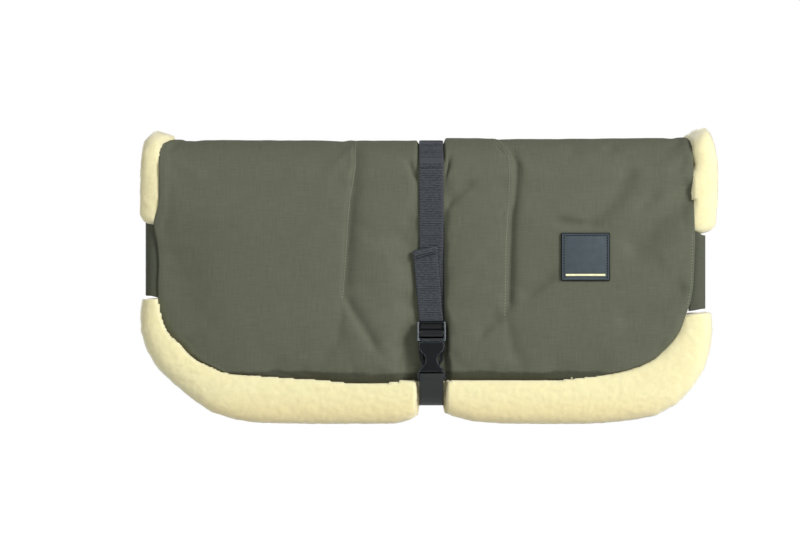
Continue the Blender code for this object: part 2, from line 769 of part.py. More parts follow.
def rail_profile():
    """Side view of a side rail in Y and Z: slim round the top rail, deep at the crosspiece."""
    rail_y, rail_z = rail_axis()
    back = -(BUCKLE_FRONT - FEMALE_DEPTH)
    front = -BUCKLE_FRONT
    slim = TOP_RAIL_RADIUS * 1.15
    return [
        (back, -MOUTH_DROP), (front, -MOUTH_DROP), (front, -BAR_DROP + 0.003),
        (rail_y - slim, rail_z), (rail_y - slim * 0.6, rail_z + slim),
        (rail_y + slim * 0.6, rail_z + slim), (rail_y + slim, rail_z),
        (back, -BAR_DROP + 0.004)]


def male_half():
    """Two side rails joined by a top rail, an adjusting bar, a crosspiece and a prong."""
    inner = STRAP_WIDTH / 2 + RAIL_CLEARANCE
    outer = inner + RAIL_WIDTH
    back = -(BUCKLE_FRONT - FEMALE_DEPTH)
    front = -BUCKLE_FRONT
    frame = add_part("buckle_male_frame", box_mesh(
        "buckle_male_frame",
        (STRAP_OFFSET - outer + RAIL_WIDTH / 2, front + 0.0004, -MOUTH_DROP + 0.0002),
        (STRAP_OFFSET + outer - RAIL_WIDTH / 2, back - 0.0004, -MOUTH_DROP + CROSSPIECE)),
        "plastic")
    for sign in (-1, 1):
        mesh = plate_mesh("side_rail", rail_profile(), RAIL_WIDTH, 0.0)
        mesh.transform(Matrix.Rotation(math.pi / 2, 4, "Z"))
        x = STRAP_OFFSET + sign * (inner + RAIL_WIDTH / 2)
        mesh.transform(Matrix.Translation((x, 0, 0)))
        rail = add_cutter(f"side_rail_{sign}", mesh)
        bevel(rail, 0.0004)
        boolean(frame, rail, "UNION")
    span = 2 * inner + RAIL_WIDTH
    for name, (y, z), radius in (
            ("top_rail", rail_axis(), TOP_RAIL_RADIUS), ("adjusting_bar", bar_axis(), BAR_RADIUS)):
        rod = add_cutter(name, rod_mesh(name, (STRAP_OFFSET, y, z), radius, span))
        boolean(frame, rod, "UNION")
    middle = -(BUCKLE_FRONT - FEMALE_DEPTH / 2)
    prong = add_cutter("centre_prong", box_mesh(
        "centre_prong",
        (STRAP_OFFSET - PRONG_HALF, middle - ARM_DEPTH / 3, -MOUTH_DROP - PRONG_LENGTH),
        (STRAP_OFFSET + PRONG_HALF, middle + ARM_DEPTH / 3, -MOUTH_DROP + CROSSPIECE / 2)))
    bevel(prong, 0.0004)
    boolean(frame, prong, "UNION")


def arm_outline(sign):
    """Front view of a sprung arm: root, shank, catch under the band, and rounded tip."""
    pocket = FEMALE_MOUTH_HALF - FEMALE_SIDE_WALL
    shank = pocket - ARM_SIDE_CLEARANCE
    root_in = shank - ARM_ROOT
    catch = pocket + ARM_CATCH
    top = -MOUTH_DROP - GAP
    under_band = -MOUTH_DROP - FEMALE_BAND - GAP
    tip = top - ARM_LENGTH
    side = [
        (root_in, top), (shank, top), (shank, under_band + 0.0002),
        (catch, under_band - 0.0002), (catch, under_band - 0.0030),
        (catch - 0.0012, tip + 0.0060), (ARM_TIP_HALF + 0.0012, tip + 0.0012),
        (ARM_TIP_HALF, tip), (ARM_TIP_HALF - 0.0015, tip + 0.0014),
        (catch - 0.0042, tip + 0.0070), (root_in, under_band - 0.0010)]
    return [(STRAP_OFFSET + sign * x, z) for x, z in side]


def sprung_arm(side):
    sign = SIDES[side]
    middle = -(BUCKLE_FRONT - FEMALE_DEPTH / 2)
    name = f"buckle_{side}_arm"
    mesh = plate_mesh(name, arm_outline(sign), ARM_DEPTH, middle)
    arm = add_part(name, mesh, "plastic")
    bevel(arm, 0.0003)
    pocket = FEMALE_MOUTH_HALF - FEMALE_SIDE_WALL
    root_x = pocket - ARM_SIDE_CLEARANCE - ARM_ROOT / 2
    move_origin(arm, (STRAP_OFFSET + sign * root_x, middle, -MOUTH_DROP - GAP))


def female_outline():
    """Front view of the female half: band, waist and flared foot."""
    count = 20
    right = []
    for step in range(count + 1):
        down = FEMALE_LENGTH * step / count
        if down < FEMALE_WAIST_AT:
            share = ease((down - FEMALE_BAND * 0.8) / (FEMALE_WAIST_AT - FEMALE_BAND))
            half = FEMALE_MOUTH_HALF + (FEMALE_WAIST_HALF - FEMALE_MOUTH_HALF) * share
        else:
            share = ease((down - FEMALE_WAIST_AT) / (FEMALE_FOOT_AT - FEMALE_WAIST_AT))
            half = FEMALE_WAIST_HALF + (FEMALE_FOOT_HALF - FEMALE_WAIST_HALF) * share
        right.append((half, -MOUTH_DROP - down))
    outline = right + [(-half, z) for half, z in reversed(right)]
    return [(STRAP_OFFSET + x, z) for x, z in outline]


def female_half():
    """A flat housing with a pocket for the arms, open at its waist, and a slotted foot."""
    back = -(BUCKLE_FRONT - FEMALE_DEPTH)
    front = -BUCKLE_FRONT
    middle = (back + front) / 2
    name = "buckle_female"
    mesh = plate_mesh(name, female_outline(), FEMALE_DEPTH, middle)
    mesh.transform(Matrix.Translation((0, 0, -GAP)))
    housing = add_part(name, mesh, "plastic")
    bevel(housing, 0.0009)
    pocket_half = FEMALE_MOUTH_HALF - FEMALE_SIDE_WALL
    top = -MOUTH_DROP - GAP
    foot = top - FEMALE_LENGTH
    slot_half = STRAP_WIDTH / 2 + RAIL_CLEARANCE
    bar_top = foot + FOOT_BAR
    bar_back = middle + FOOT_BAR_DEPTH / 2
    bar_front = middle - FOOT_BAR_DEPTH / 2
    wide = FEMALE_FOOT_HALF * 2
    cuts = {
        "pocket": ((-pocket_half, front + FEMALE_WALL, top - POCKET_LENGTH),
                   (pocket_half, back - FEMALE_WALL, top + 0.005)),
        "side_windows": ((-wide, front + FEMALE_WALL, top - POCKET_LENGTH),
                         (wide, back - FEMALE_WALL, top - FEMALE_BAND)),
        "foot_slot": ((-slot_half, front - 0.005, bar_top),
                      (slot_half, back + 0.005, bar_top + FOOT_SLOT)),
        "front_recess": ((-slot_half, front - 0.005, foot - 0.005),
                         (slot_half, bar_front, bar_top + FOOT_SLOT / 2)),
        "back_recess": ((-slot_half, bar_back, foot - 0.005),
                        (slot_half, back + 0.005, bar_top + FOOT_SLOT / 2)),
    }
    for cut_name, (low, high) in cuts.items():
        shift = Vector((STRAP_OFFSET, 0, 0))
        cutter = add_cutter(cut_name, box_mesh(cut_name, shift + Vector(low), shift + Vector(high)))
        boolean(housing, cutter, "DIFFERENCE")
    move_origin(housing, (STRAP_OFFSET, middle, top))


def lower_web():
    """From a loop round the female half's foot, under the muff and up the back panel."""
    middle = -(BUCKLE_FRONT - FEMALE_DEPTH / 2)
    lift = GAP + WEBBING / 2
    foot = -MOUTH_DROP - GAP - FEMALE_LENGTH
    bar_top = foot + FOOT_BAR
    front = middle - FOOT_BAR_DEPTH / 2 - lift
    back = middle + FOOT_BAR_DEPTH / 2 + lift
    corner = 0.0006
    fold = -WEB_FOLD_DROP
    clear = VALLEY_DEEP + lift
    points = [
        (back - 0.0021, foot - 0.0060), (back, foot - 0.0008), (back, bar_top + lift - corner),
        (back - corner, bar_top + lift), (front + corner, bar_top + lift),
        (front, bar_top + lift - corner), (front, foot - 0.0012),
        (back - 0.0040, foot - 0.0080), (-clear - 0.0005, fold + 0.0080),
        (-WEB_FOLD_HALF, fold + 0.0008), (-WEB_FOLD_HALF + 0.008, fold), (0, fold - 0.0005),
        (WEB_FOLD_HALF - 0.008, fold), (WEB_FOLD_HALF, fold + 0.0008), (clear, fold + 0.0080)]
    for drop in leg_drops():
        if drop > WEB_BACK_TOP:
            points.append((valley_depth(drop) + lift, -drop))
    points.append((valley_depth(WEB_BACK_TOP) + lift, -WEB_BACK_TOP))
    path = [(STRAP_OFFSET, y, z) for y, z in points]
    ribbon("lower_web", path, STRAP_WIDTH / 2, WEBBING, "webbing")


# Label
def rounded_rectangle(x, z, width, height, radius, steps=4):
    outline = []
    for sx, sz, start in ((1, 1, 0), (-1, 1, 90), (-1, -1, 180), (1, -1, 270)):
        for step in range(steps + 1):
            angle = math.radians(start + 90 * step / steps)
            outline.append((
                x + sx * (width / 2 - radius) + radius * math.cos(angle),
                z + sz * (height / 2 - radius) + radius * math.sin(angle)))
    return outline


def label():
    cloth = panel_depth(FULL_FROM)
    middle = -(LABEL_TOP + LABEL_HEIGHT / 2)
    outline = rounded_rectangle(LABEL_X, middle, LABEL_WIDTH, LABEL_HEIGHT, LABEL_CORNER)
    y = -(cloth + GAP + LABEL_THICKNESS / 2)
    patch = add_part("label_patch", plate_mesh("label_patch", outline, LABEL_THICKNESS, y), "leather")
    bevel(patch, 0.0003)
    z = -(LABEL_TOP + LABEL_HEIGHT) + STRIPE_UP
    outline = rounded_rectangle(LABEL_X, z, STRIPE_LENGTH, STRIPE_HEIGHT, STRIPE_HEIGHT * 0.45)
    y = -(cloth + 2 * GAP + LABEL_THICKNESS + STRIPE_THICKNESS / 2)
    add_part("label_stripe", plate_mesh("label_stripe", outline, STRIPE_THICKNESS, y), "stripe")


# Build
make_layers()
for side_name in SIDES:
    arch_roll(side_name)
    lower_roll(side_name, "front", -1)
    lower_roll(side_name, "back", 1)
    side_tab(side_name)
    sprung_arm(side_name)
upper_strap()
strap_tail()
male_half()
female_half()
lower_web()
label()
bpy.context.view_layer.update()
print("pieces:", len([piece for piece in parts.objects if piece.type == "MESH"]))
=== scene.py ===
# %% [markdown]
# A sheepskin hand muff for a pushchair's handlebar, dressed from its working model.
#
# The frame is the finished working model: every part at its real size, on the body that it moves
# with. Nothing below moves it. Each step makes one visible piece round it, or gives one finish.

import math

import bmesh
import bpy
import numpy
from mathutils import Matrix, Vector, noise
from mathutils.bvhtree import BVHTree


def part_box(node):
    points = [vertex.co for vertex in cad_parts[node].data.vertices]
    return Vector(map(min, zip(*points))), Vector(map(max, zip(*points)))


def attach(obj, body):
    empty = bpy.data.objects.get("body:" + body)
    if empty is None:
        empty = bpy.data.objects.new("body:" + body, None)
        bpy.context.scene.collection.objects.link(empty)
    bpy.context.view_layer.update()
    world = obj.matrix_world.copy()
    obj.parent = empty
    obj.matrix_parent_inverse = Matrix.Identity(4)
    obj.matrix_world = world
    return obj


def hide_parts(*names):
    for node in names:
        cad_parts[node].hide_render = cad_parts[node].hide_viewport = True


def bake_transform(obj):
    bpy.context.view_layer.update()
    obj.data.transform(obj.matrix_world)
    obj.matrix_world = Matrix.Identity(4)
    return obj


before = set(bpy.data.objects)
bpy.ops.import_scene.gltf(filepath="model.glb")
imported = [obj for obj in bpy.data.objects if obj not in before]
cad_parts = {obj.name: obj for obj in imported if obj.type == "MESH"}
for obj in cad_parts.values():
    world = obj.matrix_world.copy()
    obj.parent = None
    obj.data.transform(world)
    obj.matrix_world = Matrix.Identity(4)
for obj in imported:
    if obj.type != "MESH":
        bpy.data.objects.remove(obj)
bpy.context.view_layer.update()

# %% [markdown]
# Small helpers. Points go into a bmesh and become an object, loops of points are joined to a
# closed skin, and modifiers are turned into plain mesh. Most shapes then come from a smooth step,
# and from lines through pairs of numbers.


# %% Small helpers
def new_object(name, data):
    """An object in the scene's own collection."""
    made = bpy.data.objects.new(name, data)
    bpy.context.scene.collection.objects.link(made)
    return made


def mesh_from(bm, name):
    """The bmesh as a named mesh. The bmesh is freed."""
    mesh = bpy.data.meshes.new(name)
    bm.to_mesh(mesh)
    bm.free()
    return mesh


def join_loops(bm, loops):
    """Faces between each closed loop and the next, and a cap on both ends."""
    count = len(loops[0])
    for first, second in zip(loops, loops[1:]):
        for i in range(count):
            j = (i + 1) % count
            bm.faces.new((first[i], first[j], second[j], second[i]))
    bm.faces.new(reversed(loops[0]))
    bm.faces.new(loops[-1])
    bmesh.ops.recalc_face_normals(bm, faces=bm.faces)


def apply_modifiers(piece):
    """Gives a piece the mesh that its modifiers make."""
    graph = bpy.context.evaluated_depsgraph_get()
    mesh = bpy.data.meshes.new_from_object(piece.evaluated_get(graph))
    piece.modifiers.clear()
    piece.data = mesh
    return mesh


def ease(value):
    """Smooth step from 0 to 1."""
    value = min(max(value, 0.0), 1.0)
    return value * value * (3 - 2 * value)


def on_line(points, where):
    """Reads a line of (place, value) points, and holds its ends."""
    if where <= points[0][0]:
        return points[0][1]
    for (start, first), (end, second) in zip(points, points[1:]):
        if where <= end:
            return first + (second - first) * (where - start) / (end - start)
    return points[-1][1]


# %% [markdown]
# The saddle. The muff is one padded sheet, folded over the handlebar like a saddle over a horse.
# A point of it needs two numbers: x, across the muff, and a place along the cloth from the front
# hem, over the crest, to the back hem. The cloth is first a plain function of those two, and every
# soft piece is then laid on it. Sizes are in metres, and the large ones come from the frame.

# %% The saddle's sizes
shell_low, shell_high = (Vector(corner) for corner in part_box("outer_shell"))
HALF_WIDTH = shell_high.x
HEM_DROP = -shell_low.z
CREST_RADIUS = shell_high.z
PANEL_DEPTH = shell_high.y
FULL_FROM = 0.036
TAPER_FROM = 0.130
HEM_TAPER = 0.003
CREST_LENGTH = math.pi * CREST_RADIUS
CLOTH_LENGTH = 2 * HEM_DROP + CREST_LENGTH
GAP = 0.0003
SIDES = {"left": -1, "right": 1}

strap_low, strap_high = (Vector(corner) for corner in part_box("upper_strap"))
STRAP_X = (strap_low.x + strap_high.x) / 2
STRAP_HALF = (strap_high.x - strap_low.x) / 2
WEBBING_THICKNESS = 0.0015
VALLEY_TOP = CREST_RADIUS - 0.002
VALLEY_DEEP = VALLEY_TOP - 0.006
VALLEY_FULL_FROM = 0.130
print(f"cloth from hem to hem: {CLOTH_LENGTH * 1000:.0f} mm, wide: {2 * HALF_WIDTH * 1000:.0f} mm")


def panel_depth(drop):
    """Half depth of the panels at a drop below the handlebar's axis."""
    full = CREST_RADIUS + (PANEL_DEPTH - CREST_RADIUS) * ease(drop / FULL_FROM)
    return full - HEM_TAPER * ease((drop - TAPER_FROM) / (HEM_DROP - TAPER_FROM))


def valley_depth(drop):
    """Half depth under the strap."""
    return VALLEY_TOP - (VALLEY_TOP - VALLEY_DEEP) * ease(drop / VALLEY_FULL_FROM)


def along_cloth(place):
    """Direction out of the saddle and drop below the axis, at a place along the cloth."""
    if place < HEM_DROP:
        return Vector((0, -1, 0)), HEM_DROP - place
    if place > HEM_DROP + CREST_LENGTH:
        return Vector((0, 1, 0)), place - HEM_DROP - CREST_LENGTH
    angle = math.pi * (place - HEM_DROP) / CREST_LENGTH
    return Vector((0, -math.cos(angle), math.sin(angle))), 0.0


# %% [markdown]
# The camera looks straight at the front. A long lens keeps the crest, which lies further back than
# the front panel, from looking small. At the front panel one pixel of an 800 pixel picture is 1 mm.

# %% Camera
LENS = 160.0
SENSOR = 36.0
PICTURE_WIDTH = 0.800
VIEW_MIDDLE = (-0.027, -0.0825)
camera_distance = PICTURE_WIDTH * LENS / SENSOR

camera_data = bpy.data.cameras.new("camera")
camera_data.lens = LENS
camera_data.sensor_width = SENSOR
camera_data.clip_end = 100.0
camera = new_object("camera", camera_data)
camera.location = (VIEW_MIDDLE[0], -PANEL_DEPTH - camera_distance, VIEW_MIDDLE[1])
camera.rotation_euler = (math.pi / 2, 0, 0)
bpy.context.scene.camera = camera
print(f"camera {camera_distance:.2f} m from the front panel")

# %% [markdown]
# Light. One large soft lamp stands to the right of the camera and above it, so that folds and seams
# darken on their left, and the hem darkens where it turns under. A weak lamp from the upper left
# and an even surround fill the rest. Two small lamps at the sides draw fine bright lines along the
# buckle's edges, and one behind the muff lights the back panel and the rim of the wool. The
# surround is pure white to the camera and in reflections, and dim as a light. The muff hangs at a
# handlebar's height over a pale floor, which glows for the camera, reflections and clear things
# alone: it looks white, and keeps the shadow.

# %% Surround, lamps and floor
SURROUND_LIGHT = 0.11
FLOOR_HEIGHT = -1.0
FLOOR_RADIUS = 12.0
FLOOR_GREY = 0.7
FLOOR_GLOW = 0.9
LAMPS_AIM = Vector((0.0, 0.0, -0.08))
# Each lamp's place, the width of its disk and its power.
LAMPS = {
    "key_lamp": ((2.6, -2.4, 1.35), 1.5, 130.0),
    "fill_lamp": ((-0.8, -1.4, 0.95), 0.8, 6.5),
    "left_edge_lamp": ((-1.9, -0.45, 0.25), 0.5, 3.5),
    "right_edge_lamp": ((1.9, -0.35, 0.25), 0.5, 1.2),
    "back_lamp": ((-1.5, 2.6, 0.5), 1.4, 60.0),
}


def place_node(tree, kind, options=None, inputs=None):
    """Adds a node and fills its sockets with plain values or with other nodes' outputs."""
    made = tree.nodes.new(kind)
    for name, value in (options or {}).items():
        setattr(made, name, value)
    for key, value in (inputs or {}).items():
        if isinstance(value, bpy.types.NodeSocket):
            tree.links.new(value, made.inputs[key])
        else:
            made.inputs[key].default_value = value
    return made


def seen_directly(tree):
    """1 for camera, mirror and glass rays, and 0 for rays that light something."""
    ray = place_node(tree, "ShaderNodeLightPath")
    seen = place_node(tree, "ShaderNodeMath", {"operation": "ADD", "use_clamp": True}, {
        0: ray.outputs["Is Camera Ray"], 1: ray.outputs["Is Glossy Ray"]})
    return place_node(tree, "ShaderNodeMath", {"operation": "ADD", "use_clamp": True}, {
        0: seen.outputs[0], 1: ray.outputs["Is Transmission Ray"]}).outputs[0]


world = bpy.data.worlds.new("surround")
bpy.context.scene.world = world
world.use_nodes = True
surround = world.node_tree
surround.nodes.clear()
strength = place_node(surround, "ShaderNodeMapRange", None, {
    "Value": seen_directly(surround), "To Min": SURROUND_LIGHT, "To Max": 1.0})
sky = place_node(surround, "ShaderNodeBackground", None, {
    "Color": (1, 1, 1, 1), "Strength": strength.outputs[0]})
place_node(surround, "ShaderNodeOutputWorld", None, {"Surface": sky.outputs[0]})

for name, (place, size, power) in LAMPS.items():
    lamp = bpy.data.lights.new(name, "AREA")
    lamp.shape = "DISK"
    lamp.size = size
    lamp.energy = power
    holder = new_object(name, lamp)
    holder.location = place
    holder.rotation_euler = (LAMPS_AIM - Vector(place)).to_track_quat("-Z", "Y").to_euler()

bpy.context.scene.view_settings.view_transform = "Standard"

floor_material = bpy.data.materials.new("pale_floor")
floor_material.use_nodes = True
floor_tree = floor_material.node_tree
floor_shader = floor_tree.nodes["Principled BSDF"]
floor_shader.inputs["Base Color"].default_value = (FLOOR_GREY, FLOOR_GREY, FLOOR_GREY, 1)
floor_shader.inputs["Roughness"].default_value = 1.0
floor_shader.inputs["Emission Color"].default_value = (1, 1, 1, 1)
glow = place_node(floor_tree, "ShaderNodeMath", {"operation": "MULTIPLY"}, {
    0: seen_directly(floor_tree), 1: FLOOR_GLOW})
floor_tree.links.new(glow.outputs[0], floor_shader.inputs["Emission Strength"])

floor_shape = bmesh.new()
bmesh.ops.create_circle(floor_shape, cap_ends=True, segments=64, radius=FLOOR_RADIUS)
floor = new_object("floor", mesh_from(floor_shape, "floor"))
floor.data.materials.append(floor_material)
floor.location = (0, 0, FLOOR_HEIGHT)
print(f"{len(LAMPS)} lamps, and the floor {-FLOOR_HEIGHT:.1f} m under the handlebar's axis")

# %% [markdown]
# Shared shader effects. A plain weave, ribbed webbing, a wool nap, a leather grain and a moulded
# skin are one node group each: it takes sizes, and puts out a height for a bump and a shade that
# darkens or lightens the colour. The weave can also paint shade into a band along the front hem,
# where the cloth turns under and the pale wool below would light the real shade away. The webbing's
# shade darkens its rib grooves, which is painted shade too. The shader stays in each material.

# %% Helpers for the effects
CLOTH_MAP = "cloth_map"


def new_effect(name, inputs, outputs):
    """An empty shader group: a vector socket called Place, and named float sockets."""
    tree = bpy.data.node_groups.new(name, "ShaderNodeTree")
    tree.interface.new_socket("Place", in_out="INPUT", socket_type="NodeSocketVector")
    for title, value in inputs.items():
        socket = tree.interface.new_socket(title, in_out="INPUT", socket_type="NodeSocketFloat")
        socket.default_value = value
    for title in outputs:
        tree.interface.new_socket(title, in_out="OUTPUT", socket_type="NodeSocketFloat")
    return tree, tree.nodes.new("NodeGroupInput"), tree.nodes.new("NodeGroupOutput")


def maths(tree, operation, first, second=0.0):
    """One step of arithmetic, as a node's output."""
    made = place_node(tree, "ShaderNodeMath", {"operation": operation}, {0: first, 1: second})
    return made.outputs[0]


def ranged(tree, value, low, high, to_low, to_high):
    """Maps a value smoothly from one range to another."""
    made = place_node(tree, "ShaderNodeMapRange", {"interpolation_type": "SMOOTHSTEP"}, {
        "Value": value, "From Min": low, "From Max": high, "To Min": to_low, "To Max": to_high})
    return made.outputs[0]


def cloudy(tree, place, scale, detail=2.0, distortion=0.0):
    """Soft noise around 0.5."""
    made = place_node(tree, "ShaderNodeTexNoise", None, {
        "Vector": place, "Scale": scale, "Detail": detail, "Distortion": distortion})
    return made.outputs["Fac"]


def leave_group(tree, ends, values):
    for title, value in values.items():
        tree.links.new(value, ends.inputs[title])


# %% Weave, webbing, nap, grain and moulded skin
# How a cloud is drawn out to streaks along the yarns, and how much each counts.
YARNS = (((1500, 60, 1), 1.0), ((60, 1500, 1), 1.0), ((480, 22, 1), 0.35), ((22, 480, 1), 0.2))
# Width, blur and wander of a band of painted shade along the front hem.
HEM_BAND = 0.0120
HEM_BAND_BLUR = 0.0035
HEM_WANDER = 0.008
HEM_WANDER_SCALE = 45
SPECKLE_STRETCH = (300, 800, 1)
SELVEDGE_PITCH_SHARE = 1.35
SELVEDGE_BLUR = 0.0006
PLAIN_BLUR = 0.0005
PLAIN_LIGHTER = 0.17


def weave_effect():
    """Plain weave: threads cross over and under, some a little thicker or paler, and painted shade along
    the front hem.
    """
    tree, start, ends = new_effect(
        "plain_weave", {"Thread Pitch": 0.0006, "Slub": 0.35, "Hem Shade": 0.0},
        ("Height", "Shade"))
    split = place_node(tree, "ShaderNodeSeparateXYZ", None, {0: start.outputs["Place"]})
    waves = []
    for axis in ("X", "Y"):
        turns = maths(tree, "DIVIDE", split.outputs[axis], start.outputs["Thread Pitch"])
        waves.append(maths(tree, "SINE", maths(tree, "MULTIPLY", turns, math.pi)))
    crossing = maths(tree, "MULTIPLY", *waves)
    slub = 0.0
    for stretch, share in YARNS:
        drawn = place_node(tree, "ShaderNodeVectorMath", {"operation": "MULTIPLY"}, {
            0: start.outputs["Place"], 1: stretch}).outputs[0]
        off_middle = maths(tree, "SUBTRACT", cloudy(tree, drawn, 1.0, 1.0), 0.5)
        slub = maths(tree, "ADD", maths(tree, "MULTIPLY", off_middle, share), slub)
    uneven = maths(tree, "MULTIPLY", slub, start.outputs["Slub"])
    height = maths(tree, "ADD", ranged(tree, crossing, -1.0, 1.0, 0.0, 1.0), uneven)
    shade = maths(tree, "ADD", uneven, ranged(tree, crossing, -1.0, 1.0, 0.92, 1.06))
    # Painted shade: a band along the front hem is darkened, where the cloth turns under and the pale wool
    # below would light the real shade away.
    clouds = cloudy(tree, start.outputs["Place"], HEM_WANDER_SCALE)
    wander = maths(tree, "MULTIPLY", clouds, HEM_WANDER)
    from_hem = maths(tree, "ADD", split.outputs["Y"], wander)
    turned = ranged(tree, from_hem, HEM_BAND, HEM_BAND + HEM_BAND_BLUR, 1.0, 0.0)
    kept = maths(tree, "SUBTRACT", 1.0, maths(tree, "MULTIPLY", turned, start.outputs["Hem Shade"]))
    shade = maths(tree, "MULTIPLY", shade, kept)
    leave_group(tree, ends, {"Height": height, "Shade": shade})
    return tree


def webbing_effect():
    """Strong webbing: broken ribs with painted shade in their grooves, a dotted selvedge, and no ribs on a
    stretch that is sewn down.
    """
    tree, start, ends = new_effect(
        "woven_ribs", {
            "Rib Pitch": 0.0024, "Selvedge From": 0.0103, "Plain From": -2.0, "Plain To": -1.0},
        ("Height", "Shade"))
    split = place_node(tree, "ShaderNodeSeparateXYZ", None, {0: start.outputs["Place"]})
    waves = []
    for share in (1.0, SELVEDGE_PITCH_SHARE):
        pitch = maths(tree, "MULTIPLY", start.outputs["Rib Pitch"], share)
        turns = maths(tree, "DIVIDE", split.outputs["Y"], pitch)
        waves.append(maths(tree, "SINE", maths(tree, "MULTIPLY", turns, 2 * math.pi)))
    drawn = place_node(tree, "ShaderNodeVectorMath", {"operation": "MULTIPLY"}, {
        0: start.outputs["Place"], 1: SPECKLE_STRETCH}).outputs[0]
    speckle = ranged(tree, cloudy(tree, drawn, 1.0, 1.0), 0.36, 0.64, -0.9, 0.9)
    ribs = maths(tree, "ADD", waves[0], speckle)
    across = maths(tree, "ABSOLUTE", split.outputs["X"])
    outer = maths(tree, "ADD", start.outputs["Selvedge From"], SELVEDGE_BLUR)
    selvedge = ranged(tree, across, start.outputs["Selvedge From"], outer, 0.0, 1.0)
    dots = maths(tree, "MULTIPLY", maths(tree, "SUBTRACT", waves[1], ribs), selvedge)
    passed = []
    for end in ("Plain From", "Plain To"):
        past = maths(tree, "ADD", start.outputs[end], PLAIN_BLUR)
        passed.append(ranged(tree, split.outputs["Y"], start.outputs[end], past, 0.0, 1.0))
    plain = maths(tree, "SUBTRACT", *passed)
    ribbed = maths(tree, "SUBTRACT", 1.0, plain)
    woven = maths(tree, "MULTIPLY", maths(tree, "ADD", ribs, dots), ribbed)
    height = ranged(tree, woven, -1.6, 1.6, 0.0, 1.0)
    height = maths(tree, "ADD", height, maths(tree, "MULTIPLY", plain, PLAIN_LIGHTER))
    # The shade darkens the rib grooves, which is painted shade, over the webbing's own broken and dotted
    # pattern.
    leave_group(tree, ends, {"Height": height, "Shade": ranged(tree, height, 0.0, 1.0, 0.5, 1.4)})
    return tree


def nap_effect():
    """Wool: fine curly fibres that lie in soft locks."""
    tree, start, ends = new_effect(
        "wool_nap", {"Lock Size": 0.006, "Fibre Size": 0.0009}, ("Height", "Shade"))
    place = start.outputs["Place"]
    locks = cloudy(tree, place, maths(tree, "DIVIDE", 1.0, start.outputs["Lock Size"]), 2.0, 1.6)
    fibres = cloudy(tree, place, maths(tree, "DIVIDE", 1.0, start.outputs["Fibre Size"]), 3.0, 2.2)
    height = maths(
        tree, "ADD", maths(tree, "MULTIPLY", locks, 0.6), maths(tree, "MULTIPLY", fibres, 0.4))
    shade = ranged(tree, height, 0.32, 0.68, 0.94, 1.01)
    leave_group(tree, ends, {"Height": height, "Shade": shade})
    return tree


def leather_effect():
    """Leather: small rounded cells with fine creases between them."""
    tree, start, ends = new_effect("leather_grain", {"Cell Size": 0.0009}, ("Height", "Shade"))
    scale = maths(tree, "DIVIDE", 1.0, start.outputs["Cell Size"])
    cells = place_node(tree, "ShaderNodeTexVoronoi", {"feature": "DISTANCE_TO_EDGE"}, {
        "Vector": start.outputs["Place"], "Scale": scale})
    creases = ranged(tree, cells.outputs["Distance"], 0.0, 0.25, 0.0, 1.0)
    broad = ranged(tree, cloudy(tree, start.outputs["Place"], 140.0), 0.3, 0.7, 0.86, 0.98)
    shade = maths(tree, "ADD", maths(tree, "MULTIPLY", creases, 0.08), broad)
    leave_group(tree, ends, {"Height": creases, "Shade": shade})
    return tree


def moulded_effect():
    """Plastic, thread or coated metal: a fine skin, and faint handling marks that dull it."""
    tree, start, ends = new_effect(
        "moulded_skin", {"Grain Size": 0.0004}, ("Height", "Shade", "Dullness"))
    place = start.outputs["Place"]
    grain = cloudy(tree, place, maths(tree, "DIVIDE", 1.0, start.outputs["Grain Size"]), 1.0)
    marks = cloudy(tree, place, 220.0, 3.0)
    leave_group(tree, ends, {
        "Height": grain, "Shade": ranged(tree, marks, 0.35, 0.7, 0.9, 1.1),
        "Dullness": ranged(tree, marks, 0.3, 0.7, 0.92, 1.15)})
    return tree


EFFECTS = {
    "weave": weave_effect(), "webbing": webbing_effect(), "nap": nap_effect(),
    "leather": leather_effect(), "moulded": moulded_effect()}
print("effects:", ", ".join(EFFECTS))

# %% [markdown]
# Finishes. Cloth and webbing read a map of their own that is laid along the cloth in metres, so
# that the threads turn with every bend. Wool, leather, sewing thread, plastic and metal read the
# object's coordinates. The buckle's rounded edges have a pale finish of their own, which paints
# highlights on them, and the webbing round its bar has a near-black one, painted shade.


# %% Finishes
def linear(red, green, blue):
    """A screen colour from 0 to 255 as the scene-linear colour that shaders take."""
    def one(value):
        value /= 255
        return value / 12.92 if value <= 0.04045 else ((value + 0.055) / 1.055) ** 2.4
    return (one(red), one(green), one(blue), 1.0)


# Heights over which the wool's lower edge turns to a warmer, darker colour: painted shade.
WOOL_LOW_SHADE = (-0.236, -0.205)


